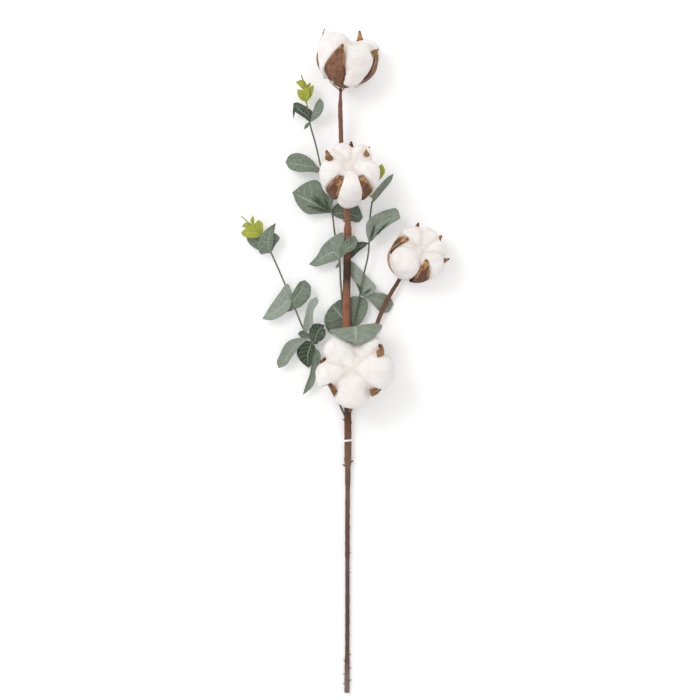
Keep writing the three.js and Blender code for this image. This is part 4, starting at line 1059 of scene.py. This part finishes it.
def cotton(name, boll, seed):
    """Head of five locks. A place is how deep a point lies in the creases between locks and how
    near a valve it lies; the finish paints shade by both.
    """
    form, form_faces = ball(subdivisions=5)
    parts = Parts()
    girth = boll["radius"] * CORE_WIDTH
    parts.add(form * [girth, girth, boll["height"] * CORE_HEIGHT], form_faces)
    for azimuth, width, full, back in boll["locks"]:
        parts.add(lock(boll, math.radians(azimuth), width, full, back, form), form_faces)
    points, normals, faces = joined(np.vstack(parts.points), parts.faces)
    lumps = [height * wander(points, size, seed + 2 * k) for k, (height, size) in enumerate(LUMPS)]
    points = points + normals * sum(lumps)[:, None]
    pressed = np.zeros(len(points))
    for spec in boll["valves"]:
        points, nearness = pressed_in(boll, spec, points)
        pressed = np.maximum(pressed, nearness)
    # How deep each point lies in the creases, for the finish's painted shade
    depth = envelope(boll, polar_angle(points)) - np.linalg.norm(points, axis=1)
    crease_shade = np.clip(depth / (CREASE_DEPTH * boll["radius"]), 0, 1)
    places = np.stack([crease_shade, pressed, 0 * crease_shade], axis=-1)
    points = above_table(placed(boll, points))
    make_piece(f"{name}_fibre", f"{name}_cotton", points, faces, places, COTTON)


# Stems
def tape_relief(length, turn, centres):
    wrap = (length / TAPE_PITCH + turn / (2 * math.pi)) % 1.0
    lumps = wander(centres, TAPE_LUMP_SIZE, 3)[:, None]
    return TAPE_STEP * wrap**4 + TAPE_LUMP * lumps - TAPE_SUNK


def main_stem():
    parts = Parts()
    route = Route([*map(from_foot, MAIN_ROUTE), neck(BOLLS["boll_1"])])
    radius_at = lambda share, centres: reading(MAIN_RADII, centres[:, 1] - FOOT[1])
    parts.add(*bar(route, radius_at, sides=24, steps=520, relief=tape_relief))
    stubs = [(*nub, NUB_GIRTH, NUB_REACH) for nub in NUBS]
    stubs += [(*fray, FRAY_GIRTH, FRAY_REACH) for fray in FRAYS]
    for distance, side, length, girth, reach in stubs:
        centre = route.at(distance / route.length)
        angle = math.radians(side)
        out = unit(np.array([math.cos(angle), 0.45, math.sin(angle)]))
        end = centre + out * (reading(MAIN_RADII, distance) + length * reach)
        stub = Route([centre, (centre + end) / 2, end])
        radius_at = lambda share, _: length * girth * np.sqrt(np.maximum(0.02, 1 - share**2))
        parts.add(*bar(stub, radius_at, sides=12, steps=10))
    parts.make("stem_main", "main_stem", TAPE, "stem_tape")


def branch_stem(name):
    parts = Parts()
    route = Route([*map(from_foot, BRANCHES[name]), neck(BOLLS[name])])
    radius_at = lambda share, _: BRANCH_RADIUS - BRANCH_NARROWING * share
    steps = round(route.length)
    points, faces, places = bar(route, radius_at, sides=18, steps=steps, relief=tape_relief)
    places[:, 2] = np.interp(places[:, 0], (0, route.length), BRANCH_TONES)
    parts.add(points, faces, places)
    parts.make(f"stem_{name}", f"{name}_stem", TAPE, "stem_tape")


# Leaves
def leaf_lines(leaf):
    """Middle, left and right lines of a leaf, from base to tip."""
    base, tip = from_foot(leaf.base), from_foot(leaf.tip)
    inner = [*map(from_foot, leaf.spine)] or [(base + tip) / 2 + [0, 0, leaf.arch]]
    middle = Route([base, *inner, tip])
    edges = []
    for side, rise in zip((leaf.left, leaf.right), leaf.cup):
        points = []
        for i, point in enumerate(side):
            along = (i + 1) / (len(side) + 1)
            x, y, z = from_foot(point)
            if len(point) < 3:
                z = middle.at(along)[2] + rise * math.sin(math.pi * along)
            points.append(np.array([x, y, z]))
        edges.append(Route([base, *points, tip]))
    return middle, *edges


def blade(leaf, thickness, seed):
    """Thin leaf. A place is its share across and along, and its tone with the underside's code."""
    middle, left, right = leaf_lines(leaf)
    rows = int(np.clip(middle.length * 0.9, 12, 40))
    columns = 13
    along = BLUNT + np.linspace(0, 1, rows) * (1 - 2 * BLUNT)
    across = np.linspace(-1, 1, columns)
    start, end, rib = left.at(along), right.at(along), middle.at(along)
    width = (end - start) * [1, 1, 0]
    share = ((rib - start) * width).sum(1) / np.maximum((width**2).sum(1), 0.01)
    centre = start + (end - start) * np.clip(share, 0.35, 0.65)[:, None]
    centre[:, 2] = rib[:, 2]
    size = np.abs(across)[None, :, None]
    edge = np.where((across < 0)[None, :, None], start[:, None], end[:, None])
    points = centre[:, None] + (edge - centre[:, None]) * size
    rises = edge[..., 2] - centre[:, None, 2]
    points[..., 2] = centre[:, None, 2] + rises * size[..., 0] ** 1.6
    lengthways = np.gradient(points, axis=0)
    sideways = unit(end - start)[:, None] * np.ones((1, columns, 1))
    normal = unit(np.cross(sideways, lengthways))
    middling = np.sin(math.pi * along)[:, None]
    wave = wander(points.reshape(-1, 3), WAVE_SIZE, seed).reshape(rows, columns)
    groove = np.exp(-((across / GROOVE_WIDTH) ** 2)) * middling
    rise = WAVE * wave * middling * size[..., 0] - GROOVE * groove
    half = thickness / 2 * (1 - 0.65 * np.abs(across) ** 4)[None, :, None]
    bent = points + normal * rise[..., None]
    points, faces = skin(bent + normal * half, bent - normal * half)
    flat = np.broadcast_arrays(across[None, :], along[:, None], leaf.tone)
    flat = np.stack(flat, axis=-1).reshape(-1, 3)
    upper_first = normal[..., 2].mean() > 0
    under = flat + [0, 0, UNDERSIDE]
    return points, faces, np.vstack([flat, under] if upper_first else [under, flat])


def sprig(base, tip):
    """Narrow dark leaflet between two points."""
    middle, along = np.add(base, tip)[:2] / 2, unit(np.subtract(tip, base)[:2])
    side = SPRIG_WIDTH / 2 * np.array([-along[1], along[0]])
    return Leaf(SPRIG_TONE, base, tip, (0, 0), SPRIG_ARCH, [middle + side], [middle - side])


def spray(name, finish, wire_finish, slot, widening, seed):
    """A wire with its leaves, as two pieces. Widening is the wire's extra radius at its end."""
    leaves, wire = Parts(), Parts()
    sprigs = [sprig(base, tip) for base, tip in SPRIGS.get(name, [])]
    for k, leaf in enumerate(LEAVES[name] + sprigs):
        leaves.add(*blade(leaf, LEAF_THICKNESS, seed + k))
    route = Route([*map(from_foot, WIRES[name])])
    radius_at = lambda share, _: WIRE_RADIUS + widening * share
    wire.add(*bar(route, radius_at, sides=10, steps=round(route.length / 1.2)))
    wire.make(f"{name}_wire", name, wire_finish, slot)
    leaves.make(f"{name}_leaves", name, finish, slot)


main_stem()
for name in BRANCHES:
    branch_stem(name)
for k, (name, boll) in enumerate(BOLLS.items()):
    bur(name, boll, seed=10 + 10 * k)
    cotton(name, boll, seed=3 + 5 * k)
for k, letter in enumerate("abc"):
    spray(f"spray_{letter}", LEAF, WIRE, "leaf", widening=0.15, seed=20 * k)
for k, letter in enumerate("abc"):
    spray(f"tip_{letter}", LIME, LIME, "lime_leaf", widening=-0.2, seed=70 + 8 * k)

# Table, light and camera, in metres
TABLE_HALF = 1.6
WORLD_LIGHT = 0.8
WINDOW = Vector((-0.9, 0.8, 1.7))
WINDOW_SIZE = 1.0
WINDOW_WATTS = 11
VIEW_DEPTH = 20

corners = [(x * TABLE_HALF, y * TABLE_HALF, 0) for x, y in ((-1, -1), (1, -1), (1, 1), (-1, 1))]
floor = add_object("table", add_mesh("table", corners, [(0, 1, 2, 3)]))
floor.data.materials.append(floor_finish())

world = bpy.data.worlds.new("studio")
world.use_nodes = True
background = world.node_tree.nodes["Background"].inputs
background["Color"].default_value = (1, 1, 1, 1)
background["Strength"].default_value = WORLD_LIGHT
bpy.context.scene.world = world

light = add_object("window", bpy.data.lights.new("window", "AREA"))
light.data.shape, light.data.size, light.data.energy = "DISK", WINDOW_SIZE, WINDOW_WATTS
light.location = WINDOW
light.rotation_euler = WINDOW.to_track_quat("Z", "Y").to_euler()

camera = add_object("photo", bpy.data.cameras.new("photo"))
camera.data.lens, camera.data.sensor_width, camera.data.clip_end = LENS, SENSOR, VIEW_DEPTH
camera_height = PHOTO_WIDTH / SENSOR * LENS + PHOTO_PLANE
camera.location = (*(PHOTO_MIDDLE * MM), camera_height * MM)
bpy.context.scene.camera = camera
bpy.context.scene.view_settings.view_transform = "Standard"
